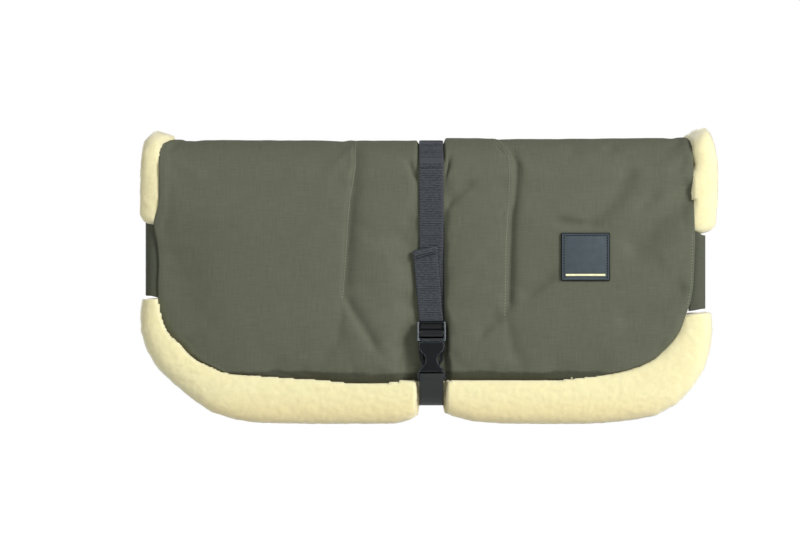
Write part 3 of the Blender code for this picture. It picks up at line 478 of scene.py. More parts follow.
def new_finish(name, colour, effect, sizes, roughness, bump, on_cloth=False, low_shade_colour=None, **extra):
    """A Principled material whose colour, roughness and bump come from one shared effect."""
    material = bpy.data.materials.new(name)
    material.use_nodes = True
    tree = material.node_tree
    shader = tree.nodes["Principled BSDF"]
    own_place = place_node(tree, "ShaderNodeTexCoord").outputs["Object"]
    place = own_place
    if on_cloth:
        place = place_node(tree, "ShaderNodeAttribute", {"attribute_name": CLOTH_MAP}).outputs["Vector"]
    used = place_node(tree, "ShaderNodeGroup", {"node_tree": EFFECTS[effect]}, {"Place": place})
    for title, value in sizes.items():
        used.inputs[title].default_value = value
    base = colour[:3]
    # Painted shade: towards the bottom the colour blends to a second, darker one.
    if low_shade_colour:
        height = place_node(tree, "ShaderNodeSeparateXYZ", None, {0: own_place}).outputs["Z"]
        low = ranged(tree, height, *WOOL_LOW_SHADE, 1.0, 0.0)
        base = place_node(tree, "ShaderNodeMix", {"data_type": "RGBA"}, {
            0: low, 6: colour, 7: low_shade_colour}).outputs[2]
    shaded = place_node(tree, "ShaderNodeVectorMath", {"operation": "SCALE"}, {
        0: base, "Scale": used.outputs["Shade"]})
    tree.links.new(shaded.outputs[0], shader.inputs["Base Color"])
    relief = place_node(tree, "ShaderNodeBump", None, {
        "Strength": 1.0, "Distance": bump, "Height": used.outputs["Height"]})
    tree.links.new(relief.outputs[0], shader.inputs["Normal"])
    shader.inputs["Roughness"].default_value = roughness
    if "Dullness" in used.outputs:
        dull = maths(tree, "MULTIPLY", used.outputs["Dullness"], roughness)
        tree.links.new(dull, shader.inputs["Roughness"])
    for title, value in extra.items():
        shader.inputs[title.replace("_", " ")].default_value = value
    material.diffuse_color = colour
    return material


CLOTH_WEAVE = {"Thread Pitch": 0.0007, "Slub": 0.30}
SMOOTH_WEAVE = {"Thread Pitch": 0.0009, "Slub": 0.3}
WEBBING_RIBS = {"Rib Pitch": 0.0024}
# Where the strap is sewn down, as lengths along it.
SEWN_FROM, SEWN_TO = 0.0729, 0.0822
WEBBING_GREY = linear(55, 59, 64)
SHELL_CLOTH = new_finish(
    "olive_cloth", linear(102, 105, 89), "weave", {**CLOTH_WEAVE, "Hem Shade": 0.42}, 0.9,
    0.00012, on_cloth=True, Specular_IOR_Level=0.15)
TAB_CLOTH = new_finish(
    "tab_cloth", linear(86, 89, 76), "weave", CLOTH_WEAVE, 0.9, 0.00012, on_cloth=True,
    Specular_IOR_Level=0.15)
WEBBING = new_finish(
    "ribbed_webbing", WEBBING_GREY, "webbing", WEBBING_RIBS, 0.6, 0.00020, on_cloth=True,
    Specular_IOR_Level=0.3)
STRAP_WEBBING = new_finish(
    "ribbed_webbing_sewn_down", WEBBING_GREY, "webbing",
    {**WEBBING_RIBS, "Plain From": SEWN_FROM, "Plain To": SEWN_TO}, 0.6, 0.00020, on_cloth=True,
    Specular_IOR_Level=0.3)
SMOOTH_WEBBING = new_finish(
    "smooth_webbing", linear(24, 29, 28), "weave", SMOOTH_WEAVE, 0.5, 0.00006, on_cloth=True,
    Specular_IOR_Level=0.3)
# Near-black webbing round the buckle's bar: painted shade for the slot between the top rail and the bar.
PAINTED_SHADE_WEBBING = new_finish(
    "webbing_painted_dark_for_shade", linear(6, 8, 10), "weave", SMOOTH_WEAVE, 0.3, 0.00004,
    on_cloth=True, Specular_IOR_Level=0.25)
THREAD = new_finish(
    "sewing_thread", linear(146, 150, 130), "moulded", {"Grain Size": 0.0003}, 0.8, 0.00004,
    Specular_IOR_Level=0.2)
DARK_THREAD = new_finish(
    "dark_thread", linear(10, 12, 16), "moulded", {"Grain Size": 0.0003}, 0.8, 0.00004,
    Specular_IOR_Level=0.2)
BUCKLE_PLASTIC = new_finish(
    "black_plastic", linear(9, 13, 17), "moulded", {"Grain Size": 0.0005}, 0.32, 0.00002,
    Specular_IOR_Level=0.16)
# A pale finish on the buckle's bevels: painted highlight lines along their edges.
HIGHLIGHT_PLASTIC = new_finish(
    "plastic_edge_painted_highlight", linear(172, 182, 188), "moulded", {"Grain Size": 0.0005}, 0.3,
    0.00001, Specular_IOR_Level=0.5)
STUD_METAL = new_finish(
    "coated_metal", linear(62, 64, 66), "moulded", {"Grain Size": 0.0006}, 0.34, 0.00001,
    Metallic=0.85)
LABEL_LEATHER = new_finish(
    "label_leather", linear(69, 79, 85), "leather", {"Cell Size": 0.0008}, 0.6, 0.00006,
    Specular_IOR_Level=0.25)
STRIPE = new_finish(
    "pale_stripe", linear(255, 253, 205), "moulded", {"Grain Size": 0.0006}, 0.5, 0.00001)
# The wool's second, darker colour low down is painted shade.
WOOL = new_finish(
    "cream_wool", linear(255, 243, 193), "nap", {"Lock Size": 0.008, "Fibre Size": 0.0011}, 0.95,
    0.00028, low_shade_colour=linear(255, 236, 180), Specular_IOR_Level=0.1, Subsurface_Weight=0.4,
    Subsurface_Scale=0.008, Subsurface_Radius=(1.0, 0.95, 0.85), Sheen_Weight=0.9,
    Sheen_Roughness=0.5)
print("finishes:", len([m for m in bpy.data.materials if m.users]))

# %% [markdown]
# The padded shell. The real one is a cloth bag filled with wadding, sewn down along two channels
# and pulled in by the strap. It could be sculpted, but cloth that is blown up between the lines
# where it is sewn finds those soft swellings by itself. So the outer cloth is laid out as a grid
# on the saddle, its seams, edges and the strap's bed are pinned, and a cloth simulation with a
# little pressure inside swells the rest.

# %% Outline and seams of the cloth
# Pairs of (drop, distance from the middle), down each side and round its lower corner.
OUTLINE = {
    "left": (
        (0.018, 0.2688), (0.026, 0.2703), (0.034, 0.2730), (0.040, 0.2745), (0.048, 0.2730),
        (0.060, 0.2705), (0.080, 0.2692), (0.100, 0.2700), (0.118, 0.2700), (0.128, 0.2686),
        (0.142, 0.2642), (0.1545, 0.2568), (0.1590, 0.2485), (0.1690, 0.2418), (0.1785, 0.2282),
        (0.1835, 0.2150), (0.1890, 0.2060),
        (0.1912, 0.1850), (0.1932, 0.1640), (0.1950, 0.1430), (0.1965, 0.1200), (0.1970, 0.1030)),
    "right": (
        (0.0, 0.2670), (0.056, 0.2682), (0.100, 0.2668), (0.118, 0.2642), (0.128, 0.2602), (0.145, 0.2546),
        (0.156, 0.2480), (0.165, 0.2396), (0.1755, 0.2290), (0.182, 0.2158), (0.187, 0.1970),
        (0.1918, 0.1740), (0.1945, 0.1500), (0.1965, 0.1200), (0.1970, 0.1000)),
}
# Pairs of (x, how far the hem hangs lower there).
HEM_SAG = (
    (-0.200, 0.0008), (-0.175, 0.0003), (-0.140, -0.0004), (-0.105, 0), (-0.085, 0.0024),
    (-0.062, 0.0040), (-0.042, 0.0030), (-0.012, 0.0011), (0.060, 0.0004), (0.100, 0.0013),
    (0.140, 0.0008))
HEM_SAG_POWER = 6
CREST_DRAW_IN = {"left": 0.014, "right": 0.0065}
CREST_DRAW_POWER = 16
CREST_RISE = {"left": 0.0026, "right": 0.0049}
SEAM_END = {"left": 0.113, "right": 0.131}
# Pairs of (drop, x) down each sewn channel. A drop over the crest is negative.
SEAM_LINE = {
    "left": (
        (-0.044, -0.0715), (-0.019, -0.0720), (-0.004, -0.0740), (0.016, -0.0775),
        (0.041, -0.0795), (0.076, -0.0815), (0.113, -0.0845)),
    "right": (
        (-0.044, 0.0660), (-0.030, 0.0800), (-0.024, 0.0832), (0.016, 0.0822), (0.028, 0.0812),
        (0.056, 0.0794), (0.096, 0.0786), (0.131, 0.0780)),
}
# Pairs of (drop, half width of the strap's bed) and (drop, width of the slope beside it).
BED = {
    "left": (
        (-0.044, 0.0128), (0.0, 0.0130), (0.040, 0.0145), (0.055, 0.0195), (0.070, 0.0192),
        (0.100, 0.0166), (0.132, 0.0150), (0.148, 0.0255), (0.162, 0.0285), (0.197, 0.0290)),
    "right": ((-0.044, 0.0128), (0.120, 0.0129), (0.138, 0.0148), (0.170, 0.0149), (0.197, 0.0165)),
    "back": ((-0.044, 0.0128), (0.0, 0.0140)),
}
SLOPE = {
    "left": (
        (-0.044, 0.002), (0.0, 0.010), (0.050, 0.024), (0.120, 0.026), (0.140, 0.014),
        (0.155, 0.009), (0.197, 0.008)),
    "right": (
        (-0.044, 0.0015), (0.0, 0.0026), (0.060, 0.0026), (0.120, 0.0022), (0.172, 0.0022),
        (0.197, 0.0050)),
    "back": ((-0.044, 0.002), (0.0, 0.012), (0.050, 0.020)),
}


def bed_side(side, direction):
    return side if direction.y < 0 else "back"


def row_marks(place):
    """Where a row of the cloth meets its edges, seams and the strap's bed, from left to right."""
    direction, drop = along_cloth(place)
    height = drop - CREST_RADIUS * max(direction.z, 0.0)
    drawn_in = max(direction.z, 0.0) ** CREST_DRAW_POWER
    left, right = (on_line(OUTLINE[side], drop) - CREST_DRAW_IN[side] * drawn_in for side in SIDES)
    left_bed, right_bed = (on_line(BED[bed_side(side, direction)], height) for side in SIDES)
    return (
        -left, on_line(SEAM_LINE["left"], height), STRAP_X - left_bed,
        STRAP_X + right_bed, on_line(SEAM_LINE["right"], height), right)


# %% [markdown]
# Rows and columns. Rows run across the cloth, closer together at the hems. Columns run along it,
# closer together beside the seams and the strap's bed, so that each seam is a column of its own.
# Each point has two depths: where the flat cloth starts, and how far the swollen cloth may reach.

# %% Rows and columns of the cloth
ROW_PITCH = 0.0055
CORNER_DROP = 0.100
CORNER_STEP_DEG = 4
COLUMNS = (29, 16, 8, 16, 29)
SEAM_COLUMN = {"left": COLUMNS[0], "right": sum(COLUMNS[:4])}
CROWDING = 0.55
RIM_PINNED = 0.005
HEM_CURL = 0.0125
HEM_CURL_WIDTH = 0.0098
BED_CURL = HEM_CURL / 3
CURL_POWER = 1.2
# Pairs of (drop, how far the side edge curls in).
SIDE_CURL = ((-0.044, 0.0002), (0.0, 0.001), (0.120, 0.003), (0.150, 0.0065), (0.197, 0.0090))
SIDE_CURL_WIDTH = 0.007
SWELL = 0.0042
CREST_SWELL = 0.0016
SWELL_FROM_RIM = 0.012
# Both panels draw in towards the muff's middle plane, left of this distance and below this drop.
TURN_BACK = 0.0090
TURN_BACK_FROM = 0.165
TURN_BACK_FULL_DROP = 0.06


def row_list():
    """Places of all rows from the front hem to the back hem, close together at the hems."""
    height = HEM_DROP - CORNER_DROP
    turns = range(90, 0, -CORNER_STEP_DEG)
    leg = [height * (1 - math.sin(math.radians(turn))) for turn in turns]
    count = round(CORNER_DROP / ROW_PITCH)
    leg += [height + CORNER_DROP * step / count for step in range(count)]
    count = round(CREST_LENGTH / ROW_PITCH)
    crest = [HEM_DROP + CREST_LENGTH * step / count for step in range(count + 1)]
    return leg + crest + [CLOTH_LENGTH - place for place in reversed(leg)]


def column_list(marks):
    """Places of all columns across one row, closer together beside the marks."""
    places = []
    for start, end, count in zip(marks, marks[1:], COLUMNS):
        for step in range(count):
            share = step / count
            share -= CROWDING * math.sin(2 * math.pi * share) / (2 * math.pi)
            places.append(start + (end - start) * share)
    return places + [marks[-1]]


def round_off(distance, width, depth):
    """How far a rim has turned in at a distance from its edge."""
    share = 1 - min(max(distance / width, 0.0), 1.0)
    return depth * share ** CURL_POWER


def cloth_depth(x, drop, direction, marks, from_side, from_hem):
    """Half depth of the swollen cloth, and of the flat cloth that it swells from."""
    height = drop - CREST_RADIUS * max(direction.z, 0.0)
    on_crest = ease(1 - drop / FULL_FROM)
    side = "right" if x > STRAP_X else "left"
    full = panel_depth(drop) + CREST_RISE[side] * on_crest * max(direction.z, 0.0)
    full -= max(
        round_off(from_hem, HEM_CURL_WIDTH, HEM_CURL),
        round_off(from_side, SIDE_CURL_WIDTH, on_line(SIDE_CURL, height)))
    turned = max(-x - TURN_BACK_FROM, 0.0) / (HALF_WIDTH - TURN_BACK_FROM)
    full -= TURN_BACK * turned ** 2 * ease(drop / TURN_BACK_FULL_DROP)
    swell = SWELL + (CREST_SWELL - SWELL) * on_crest
    flat = full - swell * ease(min(from_side, from_hem) / SWELL_FROM_RIM)
    bed_end = marks[3] if side == "right" else marks[2]
    past = (x - bed_end) * SIDES[side]
    bed = ease(1 - past / on_line(SLOPE[bed_side(side, direction)], height))
    valley = valley_depth(drop) - GAP
    valley -= round_off(from_hem, HEM_CURL_WIDTH, BED_CURL)
    return full + (valley - full) * bed, flat + (valley - flat) * bed


def lay_out_cloth():
    """The flat cloth as a grid, with how far each point may swell and which are sewn down."""
    bm = bmesh.new()
    cloth_map = bm.verts.layers.float_vector.new(CLOTH_MAP)
    grid, room, rim, pinned = [], [], [], []
    for place in row_list():
        marks = row_marks(place)
        direction, drop = along_cloth(place)
        from_hem = min(place, CLOTH_LENGTH - place)
        line = []
        for column, x in enumerate(column_list(marks)):
            from_side = min(x - marks[0], marks[-1] - x)
            full, flat = cloth_depth(x, drop, direction, marks, from_side, from_hem)
            sag = on_line(HEM_SAG, x) * (drop / HEM_DROP) ** HEM_SAG_POWER
            vert = bm.verts.new((x, direction.y * flat, direction.z * flat - drop - sag))
            vert[cloth_map] = (x, place, 0)
            sewn = any(column == SEAM_COLUMN[side] and drop < SEAM_END[side] for side in SIDES)
            if sewn or min(from_side, from_hem) < RIM_PINNED or marks[2] <= x <= marks[3]:
                pinned.append(len(room))
            room.append(full - flat)
            rim.append(min(from_side, from_hem))
            line.append(vert)
        grid.append(line)
    for before, after in zip(grid, grid[1:]):
        for i in range(len(before) - 1):
            bm.faces.new((before[i], before[i + 1], after[i + 1], after[i]))
    cloth = new_object("padded_shell", mesh_from(bm, "padded_shell"))
    cloth.vertex_groups.new(name="pinned").add(pinned, 1.0, "REPLACE")
    return cloth, room, rim


padded_shell, swell_room, from_rims = lay_out_cloth()
print("cloth grid:", len(padded_shell.data.vertices), "points")

# %% [markdown]
# Swelling. The wadding pushes the cloth out until the lining, sewn behind it, holds it back. The
# simulation has no lining, so each point's way out is eased off towards the depth that the
# working model allows there. What stays is how the cloth rounds off beside every seam.

# %% Swell the cloth
PRESSURE = 4.0
CLOTH_SHRINK = -0.012
CLOTH_STIFFNESS = 1.5
CLOTH_FRAMES = 20
LEAST_ROOM = 0.0004


def swell(cloth, room):
    """Runs the cloth simulation, and moves each point its eased share of the way out."""
    settings = cloth.modifiers.new("Cloth", "CLOTH").settings
    settings.quality = 6
    settings.use_pressure = True
    settings.uniform_pressure_force = PRESSURE
    settings.shrink_min = CLOTH_SHRINK
    settings.bending_stiffness = CLOTH_STIFFNESS
    settings.vertex_group_mass = "pinned"
    settings.effector_weights.gravity = 0.0
    for number in range(1, CLOTH_FRAMES + 1):
        bpy.context.scene.frame_set(number)
    graph = bpy.context.evaluated_depsgraph_get()
    moved = [v.co.copy() for v in cloth.evaluated_get(graph).data.vertices]
    cloth.modifiers.clear()
    bpy.context.scene.frame_set(1)
    furthest = 0.0
    for vert, target, limit in zip(cloth.data.vertices, moved, room):
        step = target - vert.co
        furthest = max(furthest, step.length)
        if step.length > 1e-7:
            limit = max(limit, LEAST_ROOM)
            vert.co += step.normalized() * limit * (1 - math.exp(-step.length / limit))
    return furthest


print(f"furthest free swelling: {swell(padded_shell, swell_room) * 1000:.1f} mm")

# %% [markdown]
# Folds. A few folds come from how this muff is worn and buckled, so no simulation would find them.
# Each is a line down the front with a height, which is negative for a valley, and a width to its
# left and to its right. Across the line it is a bell curve, steeper on the narrower side, and it
# fades out towards the line's ends. All sizes in this table are millimetres.

# %% Folds of the front panel
FOLDS = {
    "valley along the left seam": (-3.6, 2.2, 8.0, (
        (-73, 42), (-72, 20), (-74, 4), (-77, -16), (-79, -41), (-81, -76), (-84, -112))),
    "valley along the right seam": (-3.8, 2.6, 5.0, (
        (78, 38), (86, 33), (89, 24), (89, 4), (87, -16), (84, -31), (83, -56), (82, -96), (81, -129))),
    "crease under the left seam": (-4.2, 2.8, 7.0, (
        (-84, -110), (-76, -126), (-66, -142), (-58, -155), (-50, -170))),
    "swelling left of that crease": (1.6, 9.0, 9.0, ((-84, -134), (-72, -152), (-62, -176))),
    "crease under the right seam": (-3.4, 9.0, 3.0, ((78, -130), (64, -141), (50, -157))),
    "crease to the label": (-4.0, 5.5, 4.0, ((131, -88), (118, -99), (105, -108), (92, -115))),
    "hollow over the label": (-3.6, 5.0, 5.0, ((124, -36), (146, -41), (176, -41))),
    "broad valley at the right": (-6.2, 9.0, 13.0, (
        (270, 2), (252, -20), (234, -37), (216, -53), (196, -68))),
    "ridge under the broad valley": (2.4, 9.0, 12.0, ((268, -46), (254, -62), (228, -78))),
    "slanting hollow at the upper right": (-3.6, 8.0, 8.0, (
        (206, 22), (199, 4), (190, -12), (172, -31), (156, -38))),
    "small hollow beside it": (-2.2, 5.0, 6.0, ((234, -5), (220, -18), (207, -32))),
    "hollow under the right tab": (-3.8, 9.0, 9.0, (
        (262, -99), (240, -116), (215, -131), (188, -139))),
    "slanting crease right of the strap": (-3.4, 5.0, 4.0, ((50, 5), (35, -6), (23, -17), (18, -30))),
    "right wedge at the strap": (-4.6, 3.0, 3.0, ((23, 31), (20, 19), (17, 5))),
    "left wedge at the strap": (-5.2, 3.2, 3.6, ((-22, 27), (-16, 18), (-11, 8), (-9, 1))),
    "hollow left of the strap": (-2.4, 9.0, 9.0, ((-12, -28), (-22, -44), (-34, -62))),
    "dent left of the buckle": (-2.6, 7.0, 7.0, ((-16, -104), (-22, -132))),
    "recess left of the buckle": (-3.2, 5.0, 6.0, ((-21, -146), (-20, -170), (-21, -197))),
    "first small fold under the crest": (-1.6, 4.0, 3.0, ((139, 43), (148, 35), (151, 27))),
    "second small fold under the crest": (-2.0, 3.0, 4.0, ((191, 43), (185, 37), (180, 30))),
    "tuck at the top of the right seam": (-1.8, 1.6, 2.0, ((66, 43), (73, 37), (81, 28))),
    "small crease beside the right seam": (-1.6, 2.5, 2.5, ((81, -22), (75, -31), (71, -38))),
    "hollow in the left lobe": (-2.2, 16.0, 20.0, ((-250, -60), (-242, -110), (-226, -150))),
}
FOLD_FADE = 0.012
FOLD_END_SHARE = 0.15
FRONT_FADE = 0.02
STRAP_EDGE_FADE = 0.0022
UNEVENNESS = 0.0005
UNEVEN_SCALES = ((38, 1.0), (90, 0.5))
LABEL_BED = 0.0001
LABEL_BED_FADE = 0.005
FLAP_MARGIN_ACROSS = 0.01
FLAP_MARGIN_DOWN = 0.006


def fold_heights(points):
    """How far every point of the front moves out for all folds, from its x and z."""
    total = numpy.zeros(len(points))
    for height, left, right, line in FOLDS.values():
        ends = numpy.array(line) / 1000
        spans = numpy.linalg.norm(ends[1:] - ends[:-1], axis=1)
        best = numpy.full(len(points), 1e9)
        bell = numpy.zeros(len(points))
        run = numpy.zeros(len(points))
        passed = 0.0
        for start, end, span in zip(ends, ends[1:], spans):
            way = (end - start) / span
            off = points - start
            along = numpy.clip(off @ way, 0, span)
            distance = numpy.linalg.norm(off - along[:, None] * way, axis=1)
            on_right = way[0] * off[:, 1] - way[1] * off[:, 0] > 0
            width = numpy.where(on_right, right, left) / 1000
            nearer = distance < best
            best = numpy.where(nearer, distance, best)
            bell = numpy.where(nearer, numpy.exp(-(distance / width) ** 2), bell)
            run = numpy.where(nearer, passed + along, run)
            passed += span
        fade = numpy.clip(numpy.minimum(run, passed - run) / min(FOLD_FADE, passed / 2), 0, 1)
        fade = FOLD_END_SHARE + (1 - FOLD_END_SHARE) * fade * fade * (3 - 2 * fade)
        total += height / 1000 * bell * fade
    return total


def refine(piece, levels):
    """Subdivides a mesh in place."""
    modifier = piece.modifiers.new("Subdivision", "SUBSURF")
    modifier.levels = levels
    modifier.render_levels = levels
    apply_modifiers(piece)


def fold_cloth(cloth):
    """Adds the folds, a slight unevenness, and a flat bed for the label and the tabs' flaps."""
    verts = cloth.data.vertices
    heights = fold_heights(numpy.array([(v.co.x, v.co.z) for v in verts]))
    label_low, label_high = (Vector(corner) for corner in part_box("label_patch"))
    flap = {side: [Vector(c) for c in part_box(f"{side}_tab_flap")] for side in SIDES}
    normals = [v.normal.copy() for v in verts]
    for vert, normal, height in zip(verts, normals, heights):
        from_strap = ease((abs(vert.co.x - STRAP_X) - STRAP_HALF) / STRAP_EDGE_FADE)
        front = ease(-vert.co.y / FRONT_FADE)
        uneven = sum(share * noise.noise(vert.co * scale) for scale, share in UNEVEN_SCALES)
        vert.co += normal * (height * front + UNEVENNESS * uneven) * from_strap
        if vert.co.y < 0:
            outside = max(
                label_low.x - vert.co.x, vert.co.x - label_high.x,
                label_low.z - vert.co.z, vert.co.z - label_high.z, 0.0)
            bed = -(PANEL_DEPTH - LABEL_BED)
            vert.co.y += (bed - vert.co.y) * ease(1 - outside / LABEL_BED_FADE)
        for low, high in flap.values():
            inside_z = min(vert.co.z - low.z, high.z - vert.co.z) > -FLAP_MARGIN_DOWN
            inside_x = min(vert.co.x - low.x, high.x - vert.co.x) > -FLAP_MARGIN_ACROSS
            if vert.co.y > 0 and inside_z and inside_x:
                vert.co.y = min(vert.co.y, PANEL_DEPTH + GAP / 2)


rim_layer = padded_shell.data.attributes.new("from_rim", "FLOAT", "POINT")
rim_layer.data.foreach_set("value", from_rims)
refine(padded_shell, 1)
fold_cloth(padded_shell)
print("folds laid:", len(FOLDS))

# %% [markdown]
# Thickness. The sheet becomes a pad with Solidify, thin where its rim is turned in and sewn, and
# full in the middle. It stands for the outer cloth and for the wadding behind it.

# %% Give the shell its thickness
PAD_THICKNESS = 0.0054
RIM_SHARE = 0.2
THIN_UP_TO = 0.006
THICKENS_OVER = 0.010
RAY_START = 0.2


def finish_piece(piece, material, body=None, nodes=()):
    """Material, slot, replaced nodes and body of a finished piece."""
    piece.data.materials.clear()
    piece.data.materials.append(material)
    if nodes:
        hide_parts(*nodes)
    if body:
        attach(piece, body)
    return piece


def thicken(cloth):
    """Makes the sheet a pad, thin along its rim."""
    rims = numpy.zeros(len(cloth.data.vertices), dtype=numpy.float32)
    cloth.data.attributes["from_rim"].data.foreach_get("value", rims)
    group = cloth.vertex_groups.new(name="thickness")
    for index, distance in enumerate(rims):
        group.add([index], ease((distance - THIN_UP_TO) / THICKENS_OVER), "REPLACE")
    solid = cloth.modifiers.new("Pad", "SOLIDIFY")
    solid.thickness = PAD_THICKNESS
    solid.offset = -1.0
    solid.vertex_group = "thickness"
    solid.thickness_vertex_group = RIM_SHARE
    apply_modifiers(cloth).shade_smooth()
    cloth.vertex_groups.clear()


thicken(padded_shell)
finish_piece(padded_shell, SHELL_CLOTH, "root", ("outer_shell", "wadding"))
shell_tree = BVHTree.FromObject(padded_shell, bpy.context.evaluated_depsgraph_get())
print("shell faces:", len(padded_shell.data.polygons))


def on_shell(x, place, above=0.0):
    """A point on the finished cloth, from its place across and along it."""
    direction, drop = along_cloth(place)
    start = Vector((x, 0, -drop)) + direction * RAY_START
    hit = shell_tree.ray_cast(start, -direction)[0]
    if hit is None:
        hit = Vector((x, 0, -drop)) + direction * panel_depth(drop)
    return hit + direction * above


# %% [markdown]
# The wool. Rolls of sheepskin edge every opening, and the lining behind them is the same fleece.
# Strands would need millions of hairs to look as dense as this short, clipped pile. A finely
# remeshed solid with soft locks raised by noise looks the same from a step away, and its nap is
# a bump in the material. Wherever it would come through the shell, it is moved in behind it.

# %% Helpers for wool
LOCK_HEIGHT = 0.0005
LOCK_SCALES = ((150, 1.0), (330, 0.5))
LOCK_CURL = 0.006
LOCK_CURL_SCALE = 60
LOCK_SEED = 7
ROLL_VOXEL = 0.0017
LINING_VOXEL = 0.003
LINING_LOCKS = 0.0014
CLEAR_OF_SHELL = 0.0004
FURTHEST_MOVE = 0.013
WOOL_RAY_START = 0.15
RAY_STEP_IN = 0.0002
noise.seed_set(LOCK_SEED)


def merged_copy(node, name):
    """A copy of a working model's node with its loose triangles joined."""
    mesh = bpy.data.objects[node].data.copy()
    bm = bmesh.new()
    bm.from_mesh(mesh)
    bmesh.ops.remove_doubles(bm, verts=bm.verts, dist=0.00001)
    bm.to_mesh(mesh)
    bm.free()
    return new_object(name, mesh)


def remeshed(piece, voxel, smoothing):
    """Replaces the piece's mesh by an even, smooth one."""
    remesh = piece.modifiers.new("Remesh", "REMESH")
    remesh.mode = "VOXEL"
    remesh.voxel_size = voxel
    smooth = piece.modifiers.new("Smooth", "SMOOTH")
    smooth.factor = 0.5
    smooth.iterations = smoothing
    return apply_modifiers(piece)


def raise_locks(mesh, height):
    """Raises soft, slightly curled locks on a wool surface."""
    normals = [v.normal.copy() for v in mesh.vertices]
    for vert, normal in zip(mesh.vertices, normals):
        curled = vert.co + noise.noise_vector(vert.co * LOCK_CURL_SCALE) * LOCK_CURL
        raised = sum(share * noise.noise(curled * scale) for scale, share in LOCK_SCALES)
        vert.co += normal * height * raised
    mesh.shade_smooth()


def keep_inside(mesh):
    """Moves each point that would come through the shell in behind the shell's inner face."""
    for vert in mesh.vertices:
        out = Vector((0, vert.co.y, max(vert.co.z, 0.0)))
        if out.length < 0.001:
            continue
        out.normalize()
        outer = shell_tree.ray_cast(vert.co + out * WOOL_RAY_START, -out)[0]
        if outer is None:
            continue
        inner = shell_tree.ray_cast(outer - out * RAY_STEP_IN, -out)[0]
        if inner is None or (outer - inner).length > 3 * PAD_THICKNESS:
            continue
        excess = (vert.co - inner).dot(out) + CLEAR_OF_SHELL
        if 0 < excess < FURTHEST_MOVE:
            vert.co -= out * excess


def finish_wool(piece, node, locks):
    """Locks, room for the shell, and the finish of a wool piece. Returns its number of faces."""
    raise_locks(piece.data, locks)
    keep_inside(piece.data)
    finish_piece(piece, WOOL, "root", [node])
    return len(piece.data.polygons)


# %% [markdown]
# The rolls over the handlebar start from the working model's own. They are remeshed, and stretched
# until their pile fills the outline that the muff has from the front.

# %% Rolls over the handlebar
# Pairs of (z, how far the pile reaches outwards), from the lower end up, then its inner edge, and
# how far it reaches to the front and the back.
CREST_PILE = {
    "left": ((-0.0410, 0.2860), (-0.030, 0.2895), (0.000, 0.2888), (0.030, 0.2875), (0.045, 0.2858),
             (0.055, 0.2805)),
    "right": ((-0.0495, 0.2865), (-0.042, 0.2910), (-0.016, 0.2928), (0.020, 0.2928),
              (0.042, 0.2895), (0.0585, 0.2875)),
}
CREST_PILE_INNER = {
    "left": ((0.040, 0.2430), (0.0455, 0.2475), (0.0468, 0.2500), (0.0519, 0.2580), (0.055, 0.2660)),
    "right": ((0.035, 0.2470), (0.044, 0.2540), (0.052, 0.2640), (0.058, 0.2700))}
CREST_PILE_DEPTH = {"left": 0.0425, "right": 0.0460}
HANDLEBAR_ROLL_SMOOTHING = 8


def handlebar_roll(side):
    """The roll over the handlebar, stretched to the outline that its pile fills."""
    node = f"{side}_handlebar_wool"
    roll = merged_copy(node, f"{side}_handlebar_fleece")
    refine(roll, 1)
    mesh = remeshed(roll, ROLL_VOXEL, HANDLEBAR_ROLL_SMOOTHING)
    across, far, height = numpy.array([v.co for v in mesh.vertices]).T
    low, high, far = height.min(), height.max(), far.max()
    near, width = abs(across).min(), abs(across).max() - abs(across).min()
    bottom, top = CREST_PILE[side][0][0], CREST_PILE[side][-1][0]
    for vert in mesh.vertices:
        vert.co.z = bottom + (vert.co.z - low) / (high - low) * (top - bottom)
        vert.co.y *= CREST_PILE_DEPTH[side] / far
        inner = on_line(CREST_PILE_INNER[side], vert.co.z)
        outer = on_line(CREST_PILE[side], vert.co.z)
        vert.co.x = SIDES[side] * (inner + (abs(vert.co.x) - near) / width * (outer - inner))
    return finish_wool(roll, node, LOCK_HEIGHT)


for side in SIDES:
    print(f"{side} roll over the handlebar:", handlebar_roll(side), "faces")

# %% [markdown]
# The rolls round the lower corners follow their outer and inner edge, with a full section between
# the two. They are pressed in where the lower web runs, over the width that the opened buckle needs.

# %% Rolls round the lower corners
# Millimetres: x and z of the outer edge, then of the inner edge, from the side to the middle.
LOWER_ROLL = {
    "left": (
        (-285, -115, -262, -115), (-287.5, -128, -258, -133), (-287, -146.5, -253, -146.5),
        (-281.5, -165.5, -243, -158), (-271, -183.5, -232.5, -168), (-254.5, -199.5, -218.5, -176.5),
        (-236.5, -214.5, -206.5, -182.5), (-217, -228, -194, -187), (-195, -235, -182, -189.5),
        (-174, -238.5, -167, -191.5), (-143.5, -239.5, -141.5, -192), (-107.5, -240, -107.5, -192),
        (-67, -240, -67, -192), (-32, -239.5, -35.5, -192), (-17, -236, -23.5, -192),
        (-7, -229.5, -13.5, -192), (0, -224.5, -5.5, -192), (4, -222.5, 3.5, -192)),
    "right": (
        (285, -128.5, 260.5, -131), (286.5, -146.5, 254.5, -149), (284, -165.5, 245.5, -161),
        (278.5, -185.5, 234.5, -172), (266, -205, 221, -179), (251, -220.5, 207.5, -184),
        (229.5, -232, 191.5, -188), (207, -236, 176, -190), (184, -238.5, 160, -191.5),
        (159, -240, 142.5, -192), (121, -240, 113, -192), (73.5, -239.5, 73.5, -192),
        (47.5, -237.5, 47.5, -192), (28.5, -233, 32, -192), (15, -227.5, 21, -192),
        (9, -223.5, 13.5, -192), (6, -221.5, 6, -192)),
}
LOWER_ROLL_MIDDLE = 0.0265
LOWER_ROLL_HALF_DEPTH = 0.0185
ROLL_SHRINKAGE = 0.0010
ROLL_TUCKED_IN = 0.008
SECTION_POINTS = 28
SECTION_FULLNESS = 2.5
LOWER_ROLL_SMOOTHING = 5
LOWER_WEB_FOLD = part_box("lower_web")[0][2]
